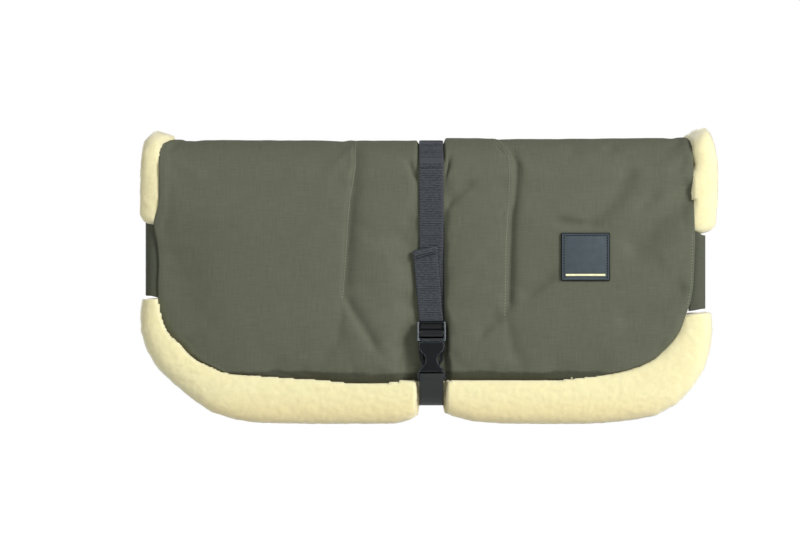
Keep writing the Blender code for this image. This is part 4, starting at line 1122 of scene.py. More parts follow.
WEB_PRESS_DEPTH = 0.0345
WEB_PRESS_FADE = 0.0013
# How much further the wool is pressed in near the web's fold, and from what height over the fold.
WEB_PRESS_LOW = 0.006
WEB_PRESS_LOW_FROM = 0.010
WEB_PRESS_LOW_FADE = 0.008
WEB_LIFT = 0.0026
WEB_LIFT_FADE = 0.0012
BUCKLE_OVERHANG = 0.0024


def section_wave(value):
    """Sine or cosine of a fuller section than an ellipse."""
    return math.copysign(abs(value) ** (2 / SECTION_FULLNESS), value)


def press_under_web(mesh):
    """Presses the wool in where the lower web runs over it and where the opened buckle passes."""
    for vert in mesh.vertices:
        beside = max(abs(vert.co.x - STRAP_X) - STRAP_HALF, 0.0)
        pressed = ease(1 - max(beside - BUCKLE_OVERHANG, 0.0) / WEB_PRESS_FADE)
        below = LOWER_WEB_FOLD + WEB_PRESS_LOW_FROM - vert.co.z
        limit = WEB_PRESS_DEPTH - WEB_PRESS_LOW * ease(below / WEB_PRESS_LOW_FADE)
        if abs(vert.co.y) > limit:
            vert.co.y += (math.copysign(limit, vert.co.y) - vert.co.y) * pressed
        lifted = ease(1 - beside / WEB_LIFT_FADE)
        vert.co.z += max(LOWER_WEB_FOLD + WEB_LIFT - vert.co.z, 0.0) * lifted


def lower_roll(side, face):
    """The roll round one lower corner of one panel, from its outline."""
    name = f"{face}_{side}_lower_fleece"
    forward = -1 if face == "front" else 1
    bm = bmesh.new()
    loops = []
    for numbers in LOWER_ROLL[side]:
        outer, inner = (Vector((numbers[i], 0, numbers[i + 1])) / 1000 for i in (0, 2))
        way = (outer - inner).normalized()
        outer += way * ROLL_SHRINKAGE
        inner -= way * ROLL_TUCKED_IN
        middle, half = (outer + inner) / 2, (outer - inner) / 2
        loop = []
        for step in range(SECTION_POINTS):
            angle = 2 * math.pi * step / SECTION_POINTS
            depth = LOWER_ROLL_MIDDLE + LOWER_ROLL_HALF_DEPTH * section_wave(math.sin(angle))
            point = middle + half * section_wave(math.cos(angle))
            loop.append(bm.verts.new((point.x, forward * depth, point.z)))
        loops.append(loop)
    join_loops(bm, loops)
    roll = new_object(name, mesh_from(bm, name))
    press_under_web(remeshed(roll, ROLL_VOXEL, LOWER_ROLL_SMOOTHING))
    return finish_wool(roll, f"{face}_{side}_lower_wool", LOCK_HEIGHT)


for face in ("front", "back"):
    for side in SIDES:
        print(f"{face} {side} lower roll:", lower_roll(side, face), "faces")

# %% [markdown]
# The lining is the working model's own, with higher locks, since its pile isn't pressed flat.

# %% Fleece lining
LINING_SMOOTHING = 6
lining = merged_copy("sheepskin_lining", "fleece_lining")
remeshed(lining, LINING_VOXEL, LINING_SMOOTHING)
print("lining faces:", finish_wool(lining, "sheepskin_lining", LINING_LOCKS))

# %% [markdown]
# Webbing. Straps are woven, so they are flat bands with raised ribs across them and a rounded
# edge. Each band follows a path in space, and a function sweeps a thin rounded section along it.

# %% Helpers for bands
RIB_MASK = "rib_mask"
CURVE_PARTS = 12
BAND_EDGE_ANGLES = (0.8, 1.57, 2.34)
RIB_FADE = 0.0012


def smooth_path(points, step):
    """Points at an even step on a smooth curve through the given ones."""
    points = [Vector(p) for p in points]
    padded = [2 * points[0] - points[1]] + points + [2 * points[-1] - points[-2]]
    fine = []
    for a, b, c, d in zip(padded, padded[1:], padded[2:], padded[3:]):
        for part in range(CURVE_PARTS):
            t = part / CURVE_PARTS
            fine.append(0.5 * (
                2 * b + (c - a) * t + (2 * a - 5 * b + 4 * c - d) * t * t
                + (3 * b - a - 3 * c + d) * t ** 3))
    fine.append(points[-1])
    lengths = [0.0]
    for before, after in zip(fine, fine[1:]):
        lengths.append(lengths[-1] + (after - before).length)
    count = max(2, round(lengths[-1] / step))
    even, index = [], 0
    for number in range(count + 1):
        goal = lengths[-1] * number / count
        while index < len(lengths) - 2 and lengths[index + 1] < goal:
            index += 1
        span = lengths[index + 1] - lengths[index] or 1.0
        even.append(fine[index].lerp(fine[index + 1], (goal - lengths[index]) / span))
    return even


def band_section(half_width, thickness, columns):
    """Closed section of a band as (across, out, mask), with rounded edges."""
    half = thickness / 2
    flat = half_width - half
    face = [(-flat + 2 * flat * i / columns, half) for i in range(columns + 1)]
    edge = [(flat + half * math.sin(a), half * math.cos(a)) for a in BAND_EDGE_ANGLES]
    ring = face + edge + [(-x, -y) for x, y in face] + [(-x, -y) for x, y in edge]
    return [(x, y, ease((flat - abs(x)) / RIB_FADE)) for x, y in ring]


def band_mesh(
        name, path, half_width, thickness, columns=10, across=(1, 0, 0), skew=None,
        plain=(0.0, 0.0)):
    """Sweeps a band's section along a path, with its width along one direction.

    Ribs are masked out along its edges, and between the two places that plain gives.
    """
    across = Vector(across)
    section = band_section(half_width, thickness, columns)
    bm = bmesh.new()
    cloth_map = bm.verts.layers.float_vector.new(CLOTH_MAP)
    mask = bm.verts.layers.float.new(RIB_MASK)
    loops, run = [], 0.0
    for index, point in enumerate(path):
        before = path[max(index - 1, 0)]
        after = path[min(index + 1, len(path) - 1)]
        way = (after - before).normalized()
        out = across.cross(way).normalized()
        run += (point - before).length if index else 0.0
        loop = []
        for x, y, on_face in section:
            shift = skew(run, x) if skew else Vector((0, 0, 0))
            vert = bm.verts.new(point + across * x + out * y + shift)
            vert[cloth_map] = (x, run, 0)
            vert[mask] = on_face * (run < plain[0] or run > plain[1])
            loop.append(vert)
        loops.append(loop)
    join_loops(bm, loops)
    return mesh_from(bm, name)


# %% [markdown]
# Ribs and stitches repeat, so each has a small Geometry Nodes tree with its sizes as inputs. Two
# functions run the trees: one sews stitches along lines of points, and one makes ribbed bands.


# %% Geometry trees for ribs and stitches
def new_tree(name, inputs):
    """An empty geometry tree with named inputs: (title, socket kind, value)."""
    tree = bpy.data.node_groups.new(name, "GeometryNodeTree")
    tree.interface.new_socket("Geometry", in_out="INPUT", socket_type="NodeSocketGeometry")
    for title, kind, value in inputs:
        socket = tree.interface.new_socket(title, in_out="INPUT", socket_type=kind)
        if value is not None:
            socket.default_value = value
    tree.interface.new_socket("Geometry", in_out="OUTPUT", socket_type="NodeSocketGeometry")
    return tree, tree.nodes.new("NodeGroupInput"), tree.nodes.new("NodeGroupOutput")


def rib_tree():
    """Raises ribs across a band: a wave along its length, where the mask lets it."""
    tree, start, ends = new_tree("ribs", (
        ("Rib Pitch", "NodeSocketFloat", 0.002), ("Rib Height", "NodeSocketFloat", 0.0002),
        ("Material", "NodeSocketMaterial", None)))
    along = place_node(tree, "GeometryNodeInputNamedAttribute", {"data_type": "FLOAT_VECTOR"}, {
        "Name": CLOTH_MAP})
    mask = place_node(tree, "GeometryNodeInputNamedAttribute", {"data_type": "FLOAT"}, {
        "Name": RIB_MASK})
    length = place_node(tree, "ShaderNodeSeparateXYZ", None, {0: along.outputs["Attribute"]})
    turns = maths(tree, "DIVIDE", length.outputs["Y"], start.outputs["Rib Pitch"])
    wave = maths(tree, "SINE", maths(tree, "MULTIPLY", turns, 2 * math.pi))
    height = maths(tree, "MULTIPLY", wave, start.outputs["Rib Height"])
    height = maths(tree, "MULTIPLY", height, mask.outputs["Attribute"])
    normal = place_node(tree, "GeometryNodeInputNormal")
    offset = place_node(tree, "ShaderNodeVectorMath", {"operation": "SCALE"}, {
        0: normal.outputs[0], "Scale": height})
    raised = place_node(tree, "GeometryNodeSetPosition", None, {
        "Geometry": start.outputs["Geometry"], "Offset": offset.outputs[0]})
    dyed = place_node(tree, "GeometryNodeSetMaterial", None, {
        "Geometry": raised.outputs[0], "Material": start.outputs["Material"]})
    tree.links.new(dyed.outputs[0], ends.inputs["Geometry"])
    return tree


def stitch_tree():
    """Lays short rounded stitches at an even pitch along guide lines."""
    tree, start, ends = new_tree("stitches", (
        ("Pitch", "NodeSocketFloat", 0.003), ("Stitch Length", "NodeSocketFloat", 0.0022),
        ("Thread Radius", "NodeSocketFloat", 0.00028), ("Material", "NodeSocketMaterial", None)))
    line = place_node(tree, "GeometryNodeMeshToCurve", None, {"Mesh": start.outputs["Geometry"]})
    even = place_node(tree, "GeometryNodeResampleCurve", {"mode": "LENGTH"}, {
        "Curve": line.outputs[0], "Length": start.outputs["Pitch"]})
    half = maths(tree, "MULTIPLY", start.outputs["Stitch Length"], 0.5)
    size = place_node(tree, "ShaderNodeCombineXYZ", None, {
        0: half, 1: start.outputs["Thread Radius"], 2: start.outputs["Thread Radius"]})
    ball = place_node(tree, "GeometryNodeMeshUVSphere", None, {"Segments": 8, "Rings": 6})
    stitch = place_node(tree, "GeometryNodeTransform", None, {
        "Geometry": ball.outputs[0], "Scale": size.outputs[0]})
    tangent = place_node(tree, "GeometryNodeInputTangent")
    turn = place_node(tree, "FunctionNodeAlignRotationToVector", {"axis": "X"}, {
        "Vector": tangent.outputs[0]})
    laid = place_node(tree, "GeometryNodeInstanceOnPoints", None, {
        "Points": even.outputs[0], "Instance": stitch.outputs[0], "Rotation": turn.outputs[0]})
    real = place_node(tree, "GeometryNodeRealizeInstances", None, {0: laid.outputs[0]})
    dyed = place_node(tree, "GeometryNodeSetMaterial", None, {
        "Geometry": real.outputs[0], "Material": start.outputs["Material"]})
    tree.links.new(dyed.outputs[0], ends.inputs["Geometry"])
    return tree


RIBS = rib_tree()
STITCHES = stitch_tree()
RIB_SIZES = {"Rib Pitch": 0.002, "Rib Height": 0.00026}
STITCH_SHARE = 0.64


def grow(name, mesh, tree, inputs):
    """Runs a geometry tree on a mesh and gives the result as a plain mesh object."""
    carrier = new_object(name, mesh)
    modifier = carrier.modifiers.new("Tree", "NODES")
    modifier.node_group = tree
    for item in tree.interface.items_tree:
        if item.item_type == "SOCKET" and item.in_out == "INPUT" and item.name in inputs:
            modifier[item.identifier] = inputs[item.name]
    apply_modifiers(carrier).shade_smooth()
    return carrier


def stitch_lines(name, lines, thread, body, pitch=0.003, radius=0.00028):
    """Stitches along several lines of points, as one piece on one body."""
    bm = bmesh.new()
    for line in lines:
        verts = [bm.verts.new(point) for point in line]
        for first, second in zip(verts, verts[1:]):
            bm.edges.new((first, second))
    piece = grow(name, mesh_from(bm, name), STITCHES, {
        "Pitch": pitch, "Stitch Length": pitch * STITCH_SHARE, "Thread Radius": radius,
        "Material": thread})
    return finish_piece(piece, thread, body)


def smooth_band(name, path, half_width, thickness, columns, across=(1, 0, 0)):
    """A band along a path, without ribs."""
    mesh = band_mesh(name, path, half_width, thickness, columns, across)
    mesh.shade_smooth()
    return new_object(name, mesh)


def ribbed_band(name, path, body, node, finish, skew=None, plain=(0.0, 0.0)):
    """A ribbed strap along a path, with no ribs between two places along it."""
    mesh = band_mesh(name, path, STRAP_HALF, WEBBING_THICKNESS, skew=skew, plain=plain)
    piece = grow(name, mesh, RIBS, {**RIB_SIZES, "Material": finish})
    return finish_piece(piece, finish, body, [node])


print("geometry trees:", RIBS.name, "and", STITCHES.name)

# %% [markdown]
# The strap. It starts just behind the crest, is sewn down at the top of the front, runs down in the
# bed that it presses into the padding, turns round the buckle's bar, and goes up again behind the
# top rail. The stretch round the bar is a smooth piece of its own, in a near-black finish that is
# painted shade for the slot it lies in. The loose end comes out over the rail and lies on the strap,
# with its tip folded over and sewn.

# %% Strap and loose end
LIFT = GAP + WEBBING_THICKNESS / 2
BAR_RADIUS = 0.0031
BAR_HEIGHT = -0.14975
TAIL_LOW, TAIL_HIGH = (Vector(corner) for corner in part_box("strap_tail"))
BAR = Vector((STRAP_X, -(VALLEY_DEEP + LIFT * 2 + BAR_RADIUS), BAR_HEIGHT))
SECOND_LAYER = 2 * GAP + WEBBING_THICKNESS * 1.5
RIBBED_STEP = 0.00036
SMOOTH_STEP = 0.0006
STRAP_BACK_DEG = 135
STRAP_RISE = 0.0014
STRAP_END_DROP = 0.1435
TIP_FOLD = 0.006
TAIL_LEAN = 0.0065
TIP_SLANT = 0.26
TIP_SLANT_FADE = 0.026


def over_the_crest(lift):
    """Points in the strap's bed from behind the crest down to the axis."""
    for degrees in range(STRAP_BACK_DEG, 0, -9):
        angle = math.radians(degrees)
        radius = VALLEY_TOP + lift + STRAP_RISE * math.sin(angle)
        yield Vector((STRAP_X, -math.cos(angle) * radius, math.sin(angle) * radius))


def down_the_front(top, bottom, lift, step=0.008):
    """Points in the strap's bed between two drops."""
    count = max(1, round((bottom - top) / step))
    for number in range(count + 1):
        drop = top + (bottom - top) * number / count
        yield Vector((STRAP_X, -(valley_depth(drop) + lift), -drop))


def make_strap():
    """The strap down to the buckle, and its end that is wrapped round the bar."""
    wrap = BAR_RADIUS + LIFT
    points = list(over_the_crest(LIFT)) + list(down_the_front(0.0, STRAP_END_DROP, LIFT))
    strap = ribbed_band(
        "front_strap", smooth_path(points, RIBBED_STEP), "root", "upper_strap", STRAP_WEBBING,
        plain=(SEWN_FROM, SEWN_TO))
    points = points[-1:]
    for degrees in range(0, -271, -30):
        angle = math.radians(degrees)
        points.append(BAR + Vector((0, math.cos(angle) * wrap, math.sin(angle) * wrap)))
    second_layer = -(VALLEY_DEEP + SECOND_LAYER)
    points.append(Vector((STRAP_X, second_layer - 0.0006, BAR.z + wrap + 0.0009)))
    points.append(Vector((STRAP_X, second_layer, TAIL_LOW.z - 2 * GAP)))
    path = smooth_path(points, SMOOTH_STEP)
    wrapped = smooth_band("strap_round_the_bar", path, STRAP_HALF, WEBBING_THICKNESS, 10)
    # The wrapped stretch is near-black: painted shade.
    finish_piece(wrapped, PAINTED_SHADE_WEBBING, "root", ["upper_strap"])
    return strap


def make_tail():
    """The loose end on the strap, leaning to the left, with a slanting tip that is folded over."""
    points = list(down_the_front(-TAIL_HIGH.z, -TAIL_LOW.z, SECOND_LAYER))
    fold = WEBBING_THICKNESS + GAP
    tip = points[0]
    turn = [(-fold, -TIP_FOLD), (-fold, -0.0008), (-fold / 2, 0.0002)]
    points = [tip + Vector((0, out, up)) for out, up in turn] + points[1:]
    path = smooth_path(points, RIBBED_STEP)
    length = TAIL_HIGH.z - TAIL_LOW.z
    for point in path:
        point.x -= TAIL_LEAN * (point.z - TAIL_LOW.z) / length

    def askew(run, x):
        return Vector((0, 0, TIP_SLANT * x * ease(1 - run / TIP_SLANT_FADE)))

    return ribbed_band(
        "loose_strap_end", path, "strap_tail", "strap_tail", WEBBING, skew=askew)


front_strap = make_strap()
loose_end = make_tail()
print("strap faces:", len(front_strap.data.polygons), "and", len(loose_end.data.polygons))

# %% [markdown]
# The lower web. Smoother and darker webbing is looped round the buckle's foot, runs under the muff
# and is sewn to the back. It is two pieces: the front one runs from the loop round the buckle's
# foot to the underside of the muff, and the back one stays on the muff.

# %% Lower web
FOOT = Vector(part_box("buckle_female")[0])
WEB_LOW, WEB_HIGH = (Vector(corner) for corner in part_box("lower_web"))
FOOT_BAR = 0.0044
FOOT_BAR_DEPTH = 0.0053
WEB_STEP = 0.0012
WEB_COLUMNS = 8
BUCKLE_MIDDLE = (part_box("buckle_female")[0][1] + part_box("buckle_female")[1][1]) / 2


def web_points():
    """Centre line of the lower web, from the loop's hidden end to the back panel."""
    front = BUCKLE_MIDDLE - FOOT_BAR_DEPTH / 2 - LIFT
    back = BUCKLE_MIDDLE + FOOT_BAR_DEPTH / 2 + LIFT
    top = FOOT.z + FOOT_BAR + LIFT
    fold = WEB_LOW.z + WEBBING_THICKNESS / 2 + 0.0005
    clear = VALLEY_DEEP + LIFT
    front_run = [
        (back - 0.0021, FOOT.z - 0.0060), (back, FOOT.z - 0.0008), (back, top - 0.0009),
        (back - 0.0009, top), (front + 0.0009, top), (front, top - 0.0009), (front, FOOT.z - 0.0012),
        (back - 0.0040, FOOT.z - 0.0080), (-clear - 0.0005, fold + 0.0080), (-0.0300, fold + 0.0008),
        (-0.0220, fold), (0.0, fold - 0.0005)]
    back_run = [(0.0220, fold), (0.0300, fold + 0.0008), (clear, fold + 0.0080)]
    bottom, top_drop = HEM_DROP - 0.001, -WEB_HIGH.z
    for step in range(7):
        drop = bottom + (top_drop - bottom) * step / 6
        back_run.append((valley_depth(drop) + LIFT, -drop))
    return ([Vector((STRAP_X, y, z)) for y, z in run] for run in (front_run, front_run[-1:] + back_run))


front_run, back_run = web_points()
web_halves = {}
for name, run in (("lower_web_front", front_run), ("lower_web_back", back_run)):
    web_halves[name] = smooth_band(
        name, smooth_path(run, WEB_STEP), STRAP_HALF, WEBBING_THICKNESS, WEB_COLUMNS)
finish_piece(web_halves["lower_web_front"], SMOOTH_WEBBING, None, ["lower_web"])
finish_piece(web_halves["lower_web_back"], SMOOTH_WEBBING, "root", ["lower_web"])
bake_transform(web_halves["lower_web_front"])
print("lower web:", ", ".join(web_halves))

# %% [markdown]
# The buckle. Its working parts are right as they are: rails, bar, arms with catches, and a housing
# with a pocket and side windows. Only their edges are too sharp for moulded plastic. So each is
# copied, its flat faces are joined, and a small bevel rounds what a mould would round. On the frame
# and the housing the bevel's faces have a pale finish, which paints the bright highlight lines along
# their edges.

# %% Buckle
FRAME_EDGE = 0.00013
HOUSING_EDGE = 0.0012
ARM_EDGE = 0.00015
FLAT_DEG = 1
BEVEL_FROM_DEG = 38
SHARP_FROM_DEG = 42


def moulded_copy(node, name, body, width, highlight_edges=True):
    """A bevelled copy of a plastic part. Returns how many bevel faces carry the painted highlight."""
    piece = merged_copy(node, name)
    piece.data.materials.append(BUCKLE_PLASTIC)
    piece.data.materials.append(HIGHLIGHT_PLASTIC)
    bm = bmesh.new()
    bm.from_mesh(piece.data)
    bmesh.ops.dissolve_limit(bm, angle_limit=math.radians(FLAT_DEG), verts=bm.verts, edges=bm.edges)
    bm.to_mesh(piece.data)
    bm.free()
    bevel = piece.modifiers.new("Bevel", "BEVEL")
    bevel.width = width
    bevel.segments = 3
    bevel.material = 1 if highlight_edges else 0
    bevel.use_clamp_overlap = width != FRAME_EDGE
    bevel.limit_method = "ANGLE"
    bevel.angle_limit = math.radians(BEVEL_FROM_DEG)
    mesh = apply_modifiers(piece)
    mesh.shade_smooth()
    mesh.set_sharp_from_angle(angle=math.radians(SHARP_FROM_DEG))
    highlighted = [face.index for face in mesh.polygons if face.material_index == 1]
    finish_piece(piece, BUCKLE_PLASTIC, body, [node])
    if highlighted:
        mesh.materials.append(HIGHLIGHT_PLASTIC)
        for index in highlighted:
            mesh.polygons[index].material_index = 1
    return len(highlighted)


highlighted = moulded_copy("buckle_male_frame", "buckle_frame", "root", FRAME_EDGE)
highlighted += moulded_copy("buckle_female", "buckle_housing", "buckle_female", HOUSING_EDGE)
for side in SIDES:
    moulded_copy(
        f"buckle_{side}_arm", f"buckle_{side}_spring", f"buckle_{side}_arm", ARM_EDGE,
        highlight_edges=False)
print("buckle pieces: 4, with", highlighted, "faces on rounded edges")

# %% [markdown]
# Side tabs. Each is one strip of doubled cloth, sewn in behind the shell's front edge, that runs
# round the side and closes on the back panel with two press studs.

# %% Tabs
TAB_CLOTH_THICKNESS = 0.002
TAB_BEND = 0.010
FLAP_BEND = 0.006
FLAP_CORNER = 0.011
TAB_STEP = 0.0025
TAB_COLUMNS = 12
TAB_MARGIN = 0.0035
# How far each tab stays inside its node's outer face (negative: outside it), and behind its front.
TAB_DRAW_IN = {"left": -0.0022, "right": 0.0012}
TAB_SET_BACK = {"left": 0.0096, "right": 0.0014}
# How much wider its seam is above and below.
TAB_FLARE = {"left": (0.005, 0.004), "right": (0.010, 0.0022)}
TAB_FLARE_LENGTH = 0.016


def tab_path(side):
    """Centre line of a tab at its middle height, from its front seam to its end, and half its height."""
    sign = SIDES[side]
    low, high = (Vector(corner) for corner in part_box(f"{side}_tab"))
    flap_low, flap_high = (Vector(corner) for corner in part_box(f"{side}_tab_flap"))
    middle = (low.z + high.z) / 2
    half = TAB_CLOTH_THICKNESS / 2
    reach = max(abs(low.x), abs(high.x)) - half - TAB_DRAW_IN[side]
    front = low.y + half + TAB_SET_BACK[side]
    flap_y = (flap_low.y + flap_high.y) / 2
    inner_x = min(abs(low.x), abs(high.x))
    end_x = min(abs(flap_low.x), abs(flap_high.x))
    points = [(inner_x, front)]
    for degrees in range(0, 91, 15):
        angle = math.radians(degrees)
        points.append((
            reach - TAB_BEND + TAB_BEND * math.sin(angle),
            front + TAB_BEND - TAB_BEND * math.cos(angle)))
    points += [(reach, -0.02), (reach, 0.0), (reach, 0.02), (reach, 0.045)]
    for degrees in range(0, 91, 30):
        angle = math.radians(degrees)
        points.append((
            reach - FLAP_BEND + FLAP_BEND * math.cos(angle),
            flap_y - FLAP_BEND + FLAP_BEND * math.sin(angle)))
    points += [(reach - 0.02, flap_y), (end_x, flap_y)]
    return smooth_path([(sign * x, y, middle) for x, y in points], TAB_STEP), (high.z - low.z) / 2


def make_tab(side):
    """A tab with rounded corners at its flap's end and a wider front seam."""
    path, half_height = tab_path(side)
    piece = smooth_band(
        f"{side}_side_tab", path, half_height, TAB_CLOTH_THICKNESS, TAB_COLUMNS, across=(0, 0, 1))
    mesh = piece.data
    total = sum((b - a).length for a, b in zip(path, path[1:]))
    middle = path[0].z
    for vert, data in zip(mesh.vertices, mesh.attributes[CLOTH_MAP].data):
        left = total - data.vector.y
        if left < FLAP_CORNER:
            narrow = FLAP_CORNER - math.sqrt(max(FLAP_CORNER ** 2 - (FLAP_CORNER - left) ** 2, 0.0))
            vert.co.z = middle + (vert.co.z - middle) * (half_height - narrow) / half_height
        above, below = TAB_FLARE[side]
        flare = above if vert.co.z > middle else below
        flare *= ease(1 - data.vector.y / TAB_FLARE_LENGTH)
        vert.co.z += (vert.co.z - middle) / half_height * flare
    finish_piece(piece, TAB_CLOTH, None, [f"{side}_tab", f"{side}_tab_flap"])
    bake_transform(piece)
    return piece


for side in SIDES:
    make_tab(side)
print("tabs: 2")


# %% [markdown]
# Press studs. Each tab closes with two: a stud with a post on the back panel, a ring-shaped socket
# inside the flap and a domed cap outside it. They are turned shapes, so a profile of radius and
# height is spun round the stud's axis. The two studs, sockets or caps of a tab are one piece.

# %% Press studs
STUD_STEPS = 32
STUD_SHARP_DEG = 50
# Pairs of radius and height, as shares of the stud's own.
STUD_PROFILES = {
    "stud": ((0, 1.0), (0.28, 1.0), (0.40, 0.92), (0.44, 0.82), (0.36, 0.55), (0.37, 0.27),
             (0.86, 0.27), (0.97, 0.20), (1.0, 0.08), (0.97, 0.0), (0, 0)),
    "socket": ((0.90, 1.0), (0.98, 0.9), (1.0, 0.5), (0.99, 0.12), (0.93, 0.0), (0.60, 0.0),
               (0.53, 0.12), (0.52, 1.0)),
    "cap": ((0, 1.0), (0.38, 0.97), (0.58, 0.86), (0.66, 0.70), (0.72, 0.66), (0.90, 0.52),
            (0.98, 0.28), (1.0, 0.0), (0, 0)),
}


def turned_studs(side, kind, body):
    """The upper and the lower stud, socket or cap of one tab."""
    bm = bmesh.new()
    for row in ("upper", "lower"):
        low, high = (Vector(corner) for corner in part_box(f"{side}_{row}_{kind}"))
        middle = (low + high) / 2
        radius = (high.x - low.x) / 2
        profile = STUD_PROFILES[kind]
        verts = [
            bm.verts.new((middle.x + radius * r, low.y + (high.y - low.y) * h, middle.z))
            for r, h in profile]
        edges = [bm.edges.new(pair) for pair in zip(verts, verts[1:])]
        if kind == "socket":
            edges.append(bm.edges.new((verts[-1], verts[0])))
        bmesh.ops.spin(
            bm, geom=verts + edges, cent=middle, axis=(0, 1, 0), angle=2 * math.pi, steps=STUD_STEPS,
            use_merge=True)
    bmesh.ops.remove_doubles(bm, verts=bm.verts, dist=0.000005)
    bmesh.ops.recalc_face_normals(bm, faces=bm.faces)
    mesh = mesh_from(bm, f"{side}_{kind}s")
    mesh.shade_smooth()
    mesh.set_sharp_from_angle(angle=math.radians(STUD_SHARP_DEG))
    piece = new_object(mesh.name, mesh)
    nodes = [f"{side}_{row}_{kind}" for row in ("upper", "lower")]
    return finish_piece(piece, STUD_METAL, body, nodes)


for side in SIDES:
    turned_studs(side, "stud", "root")
    turned_studs(side, "socket", f"{side}_flap")
    turned_studs(side, "cap", f"{side}_flap")
print("press studs: 4, in 6 pieces")

# %% [markdown]
# The label. A grey leather patch with a pressed border is sewn to the front, with one pale stripe
# across its foot. Its outline is a rounded square. A list of insets and heights, from the back
# edge over the border to the field, makes one loop each, and the loops are joined. A dark rim, made
# the same way, lies round the patch, and its middle dips under it.

# %% Label
LABEL_CORNER = 0.0012
LEAST_CORNER = 0.0004
LABEL_SHARP_DEG = 60
LABEL_EDGE = (
    (0.0, 0.0), (0.0, 0.0011), (0.0002, 0.0016), (0.0009, 0.00175), (0.0013, 0.0007))
LABEL_PROFILE = (
    (0.0009, 0.0008), (0.0009, 0.0017), (0.0011, 0.0019), (0.0016, 0.0019), (0.0020, 0.0017),
    (0.0023, 0.0014), (0.0027, 0.0013), (0.0031, 0.0014), (0.0035, 0.0016))
LABEL_STITCH_INSET = 0.0029
LABEL_STITCH_HEIGHT = 0.0014
LABEL_STITCH_PITCH = 0.0028
LABEL_THREAD_RADIUS = 0.0006


def rounded_square(low, high, inset, steps=5):
    """Points of a rounded rectangle in X and Z, counter-clockwise from its lower right corner."""
    radius = max(LABEL_CORNER - inset, LEAST_CORNER)
    middle = (low + high) / 2
    half_x = (high.x - low.x) / 2 - inset - radius
    half_z = (high.z - low.z) / 2 - inset - radius
    corners = ((1, -1, -90), (1, 1, 0), (-1, 1, 90), (-1, -1, 180))
    for sx, sz, start in corners:
        for step in range(steps + 1):
            angle = math.radians(start + 90 * step / steps)
            x = middle.x + sx * half_x + radius * math.cos(angle)
            z = middle.z + sz * half_z + radius * math.sin(angle)
            yield x, z


def label_piece(name, profile, finish):
    """One closed piece of the label, from a list of insets and heights. Returns the label's box."""
    low, high = (Vector(corner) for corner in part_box("label_patch"))
    bm = bmesh.new()
    loops = []
    for inset, height in profile:
        outline = rounded_square(low, high, inset)
        loops.append([bm.verts.new((x, high.y - height, z)) for x, z in outline])
    join_loops(bm, loops)
    mesh = mesh_from(bm, name)
    mesh.shade_smooth()
    mesh.set_sharp_from_angle(angle=math.radians(LABEL_SHARP_DEG))
    finish_piece(new_object(name, mesh), finish, "root", ["label_patch"])
    return low, high


def make_label():
    """The rim, the patch, and stitches up its sides and across its top."""
    label_piece("label_edge", LABEL_EDGE, DARK_THREAD)
    low, high = label_piece("label", LABEL_PROFILE, LABEL_LEATHER)
    outline = rounded_square(low, high, LABEL_STITCH_INSET)
    line = [Vector((x, high.y - LABEL_STITCH_HEIGHT, z)) for x, z in outline]
    corner_points = len(line) // 4
    open_line = line[corner_points - 1:3 * corner_points + 1]
    stitch_lines(
        "label_stitches", [open_line], DARK_THREAD, "root", LABEL_STITCH_PITCH,
        LABEL_THREAD_RADIUS)


make_label()
stripe = bpy.data.objects["label_stripe"]
stripe.data.materials.clear()
stripe.data.materials.append(STRIPE)
print("label and its stitches")

# %% [markdown]
# Stitches. The two channels, the shell's edge beside the right tab, the strap where it is sewn
# down, the loose end's hem and the tabs' borders all show thread. Each line is a list of points on
# the finished surface, and the same tree sews them all.

# %% Stitches
THREAD_ABOVE = 0.0001
CHANNEL_THREAD_RADIUS = 0.00036
STRAP_THREAD_RADIUS = 0.00042
HEM_THREAD_RADIUS = 0.00025
CHANNEL_POINTS = 150
CHANNEL_MARK = {"left": 1, "right": 4}
EDGE_POINTS = 40
EDGE_INSET = 0.0025
EDGE_FROM, EDGE_TO = 0.052, 0.122
STRAP_STITCH_HALF = STRAP_HALF - 0.0018
STRAP_STITCH_HEIGHTS = (0.0275, 0.0165)
STRAP_STITCH_PITCH = 0.0026
HEM_STITCH_DROP = 0.0048
HEM_STITCH_LEFT = 0.0061
HEM_STITCH_SLOPE = 0.24
TAB_STITCHES_TO = 0.044
FLAP_STITCHES_FROM = 0.05
FLAP_STITCHES_INSET = 0.011
FLAP_STITCHES_LENGTH = 0.022


def seam_points(side):
    """Points along one channel, from its lower end on the front over the crest to the back."""
    points = []
    start = HEM_DROP - SEAM_END[side]
    for step in range(CHANNEL_POINTS + 1):
        place = start + (CLOTH_LENGTH - 2 * start) * step / CHANNEL_POINTS
        points.append(on_shell(row_marks(place)[CHANNEL_MARK[side]], place, THREAD_ABOVE))
    return points


def across_strap(z, face_y, centre_x, slope=0.0):
    """A line of stitches across the strap at one height."""
    offsets = (-STRAP_STITCH_HALF, 0.0, STRAP_STITCH_HALF)
    return [Vector((centre_x + x, face_y, z + slope * x)) for x in offsets]


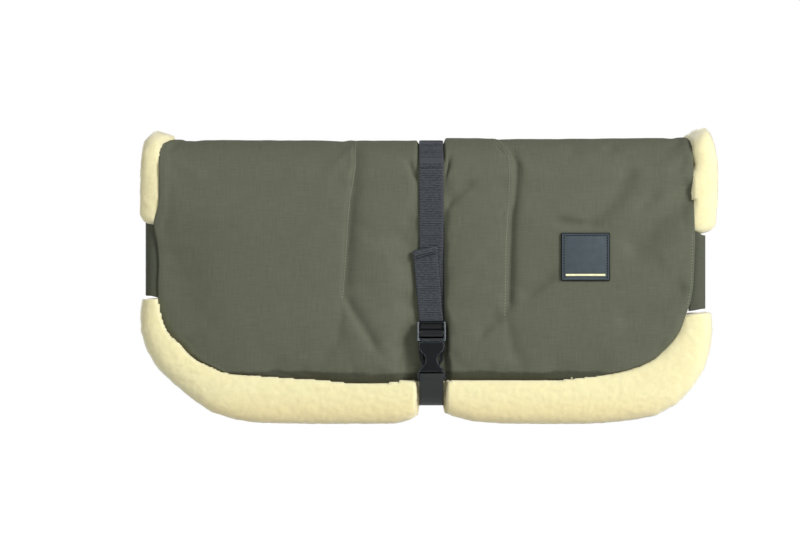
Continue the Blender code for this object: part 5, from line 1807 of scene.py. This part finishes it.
def tab_stitch_lines(side, keep):
    """Lines along a tab's upper and lower border, on its outer face, where keep allows a point."""
    path, half_height = tab_path(side)
    sign = SIDES[side]
    lines = []
    for edge in (-1, 1):
        line = []
        for before, point, after in zip(path, path[1:], path[2:]):
            if keep(point):
                out = Vector((0, 0, 1)).cross((after - before).normalized()).normalized()
                out *= sign
                rise = Vector((0, 0, edge * (half_height - TAB_MARGIN)))
                line.append(point + out * (TAB_CLOTH_THICKNESS / 2 + THREAD_ABOVE) + rise)
        lines.append(line)
    return lines


def edge_points(side):
    """Points beside the shell's edge, along the tab."""
    points = []
    for step in range(EDGE_POINTS + 1):
        drop = EDGE_FROM + (EDGE_TO - EDGE_FROM) * step / EDGE_POINTS
        x = SIDES[side] * (on_line(OUTLINE[side], drop) - EDGE_INSET)
        points.append(on_shell(x, HEM_DROP - drop, THREAD_ABOVE))
    return points


channel_lines = [seam_points(side) for side in SIDES] + [edge_points("right")]
stitch_lines(
    "channel_stitches", channel_lines, THREAD, "root", radius=CHANNEL_THREAD_RADIUS)

strap_rows = []
for height in STRAP_STITCH_HEIGHTS:
    radius = VALLEY_TOP + GAP + WEBBING_THICKNESS + STRAP_RISE * height / VALLEY_TOP
    front_y = -math.sqrt(radius ** 2 - height ** 2)
    strap_rows.append(across_strap(height, front_y - THREAD_ABOVE, STRAP_X))
stitch_lines(
    "strap_stitches", strap_rows, DARK_THREAD, "root", STRAP_STITCH_PITCH,
    STRAP_THREAD_RADIUS)
tail_face = -(valley_depth(-TAIL_HIGH.z) + SECOND_LAYER + WEBBING_THICKNESS + GAP + 0.0009)
hem_row = across_strap(
    TAIL_HIGH.z - HEM_STITCH_DROP, tail_face, STRAP_X - HEM_STITCH_LEFT, HEM_STITCH_SLOPE)
stitch_lines(
    "loose_end_stitches", [hem_row], DARK_THREAD, "strap_tail", STRAP_STITCH_PITCH,
    HEM_THREAD_RADIUS)
for side in SIDES:
    stitch_lines(
        f"{side}_tab_stitches", tab_stitch_lines(side, lambda p: p.y < TAB_STITCHES_TO), THREAD,
        "root")
    fold_x = abs(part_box(f"{side}_tab_flap")[0 if side == "left" else 1][0]) - FLAP_STITCHES_INSET
    flap_lines = tab_stitch_lines(
        side, lambda p: p.y > FLAP_STITCHES_FROM and 0.0 < fold_x - abs(p.x) < FLAP_STITCHES_LENGTH)
    stitch_lines(f"{side}_flap_stitches", flap_lines, THREAD, f"{side}_flap")
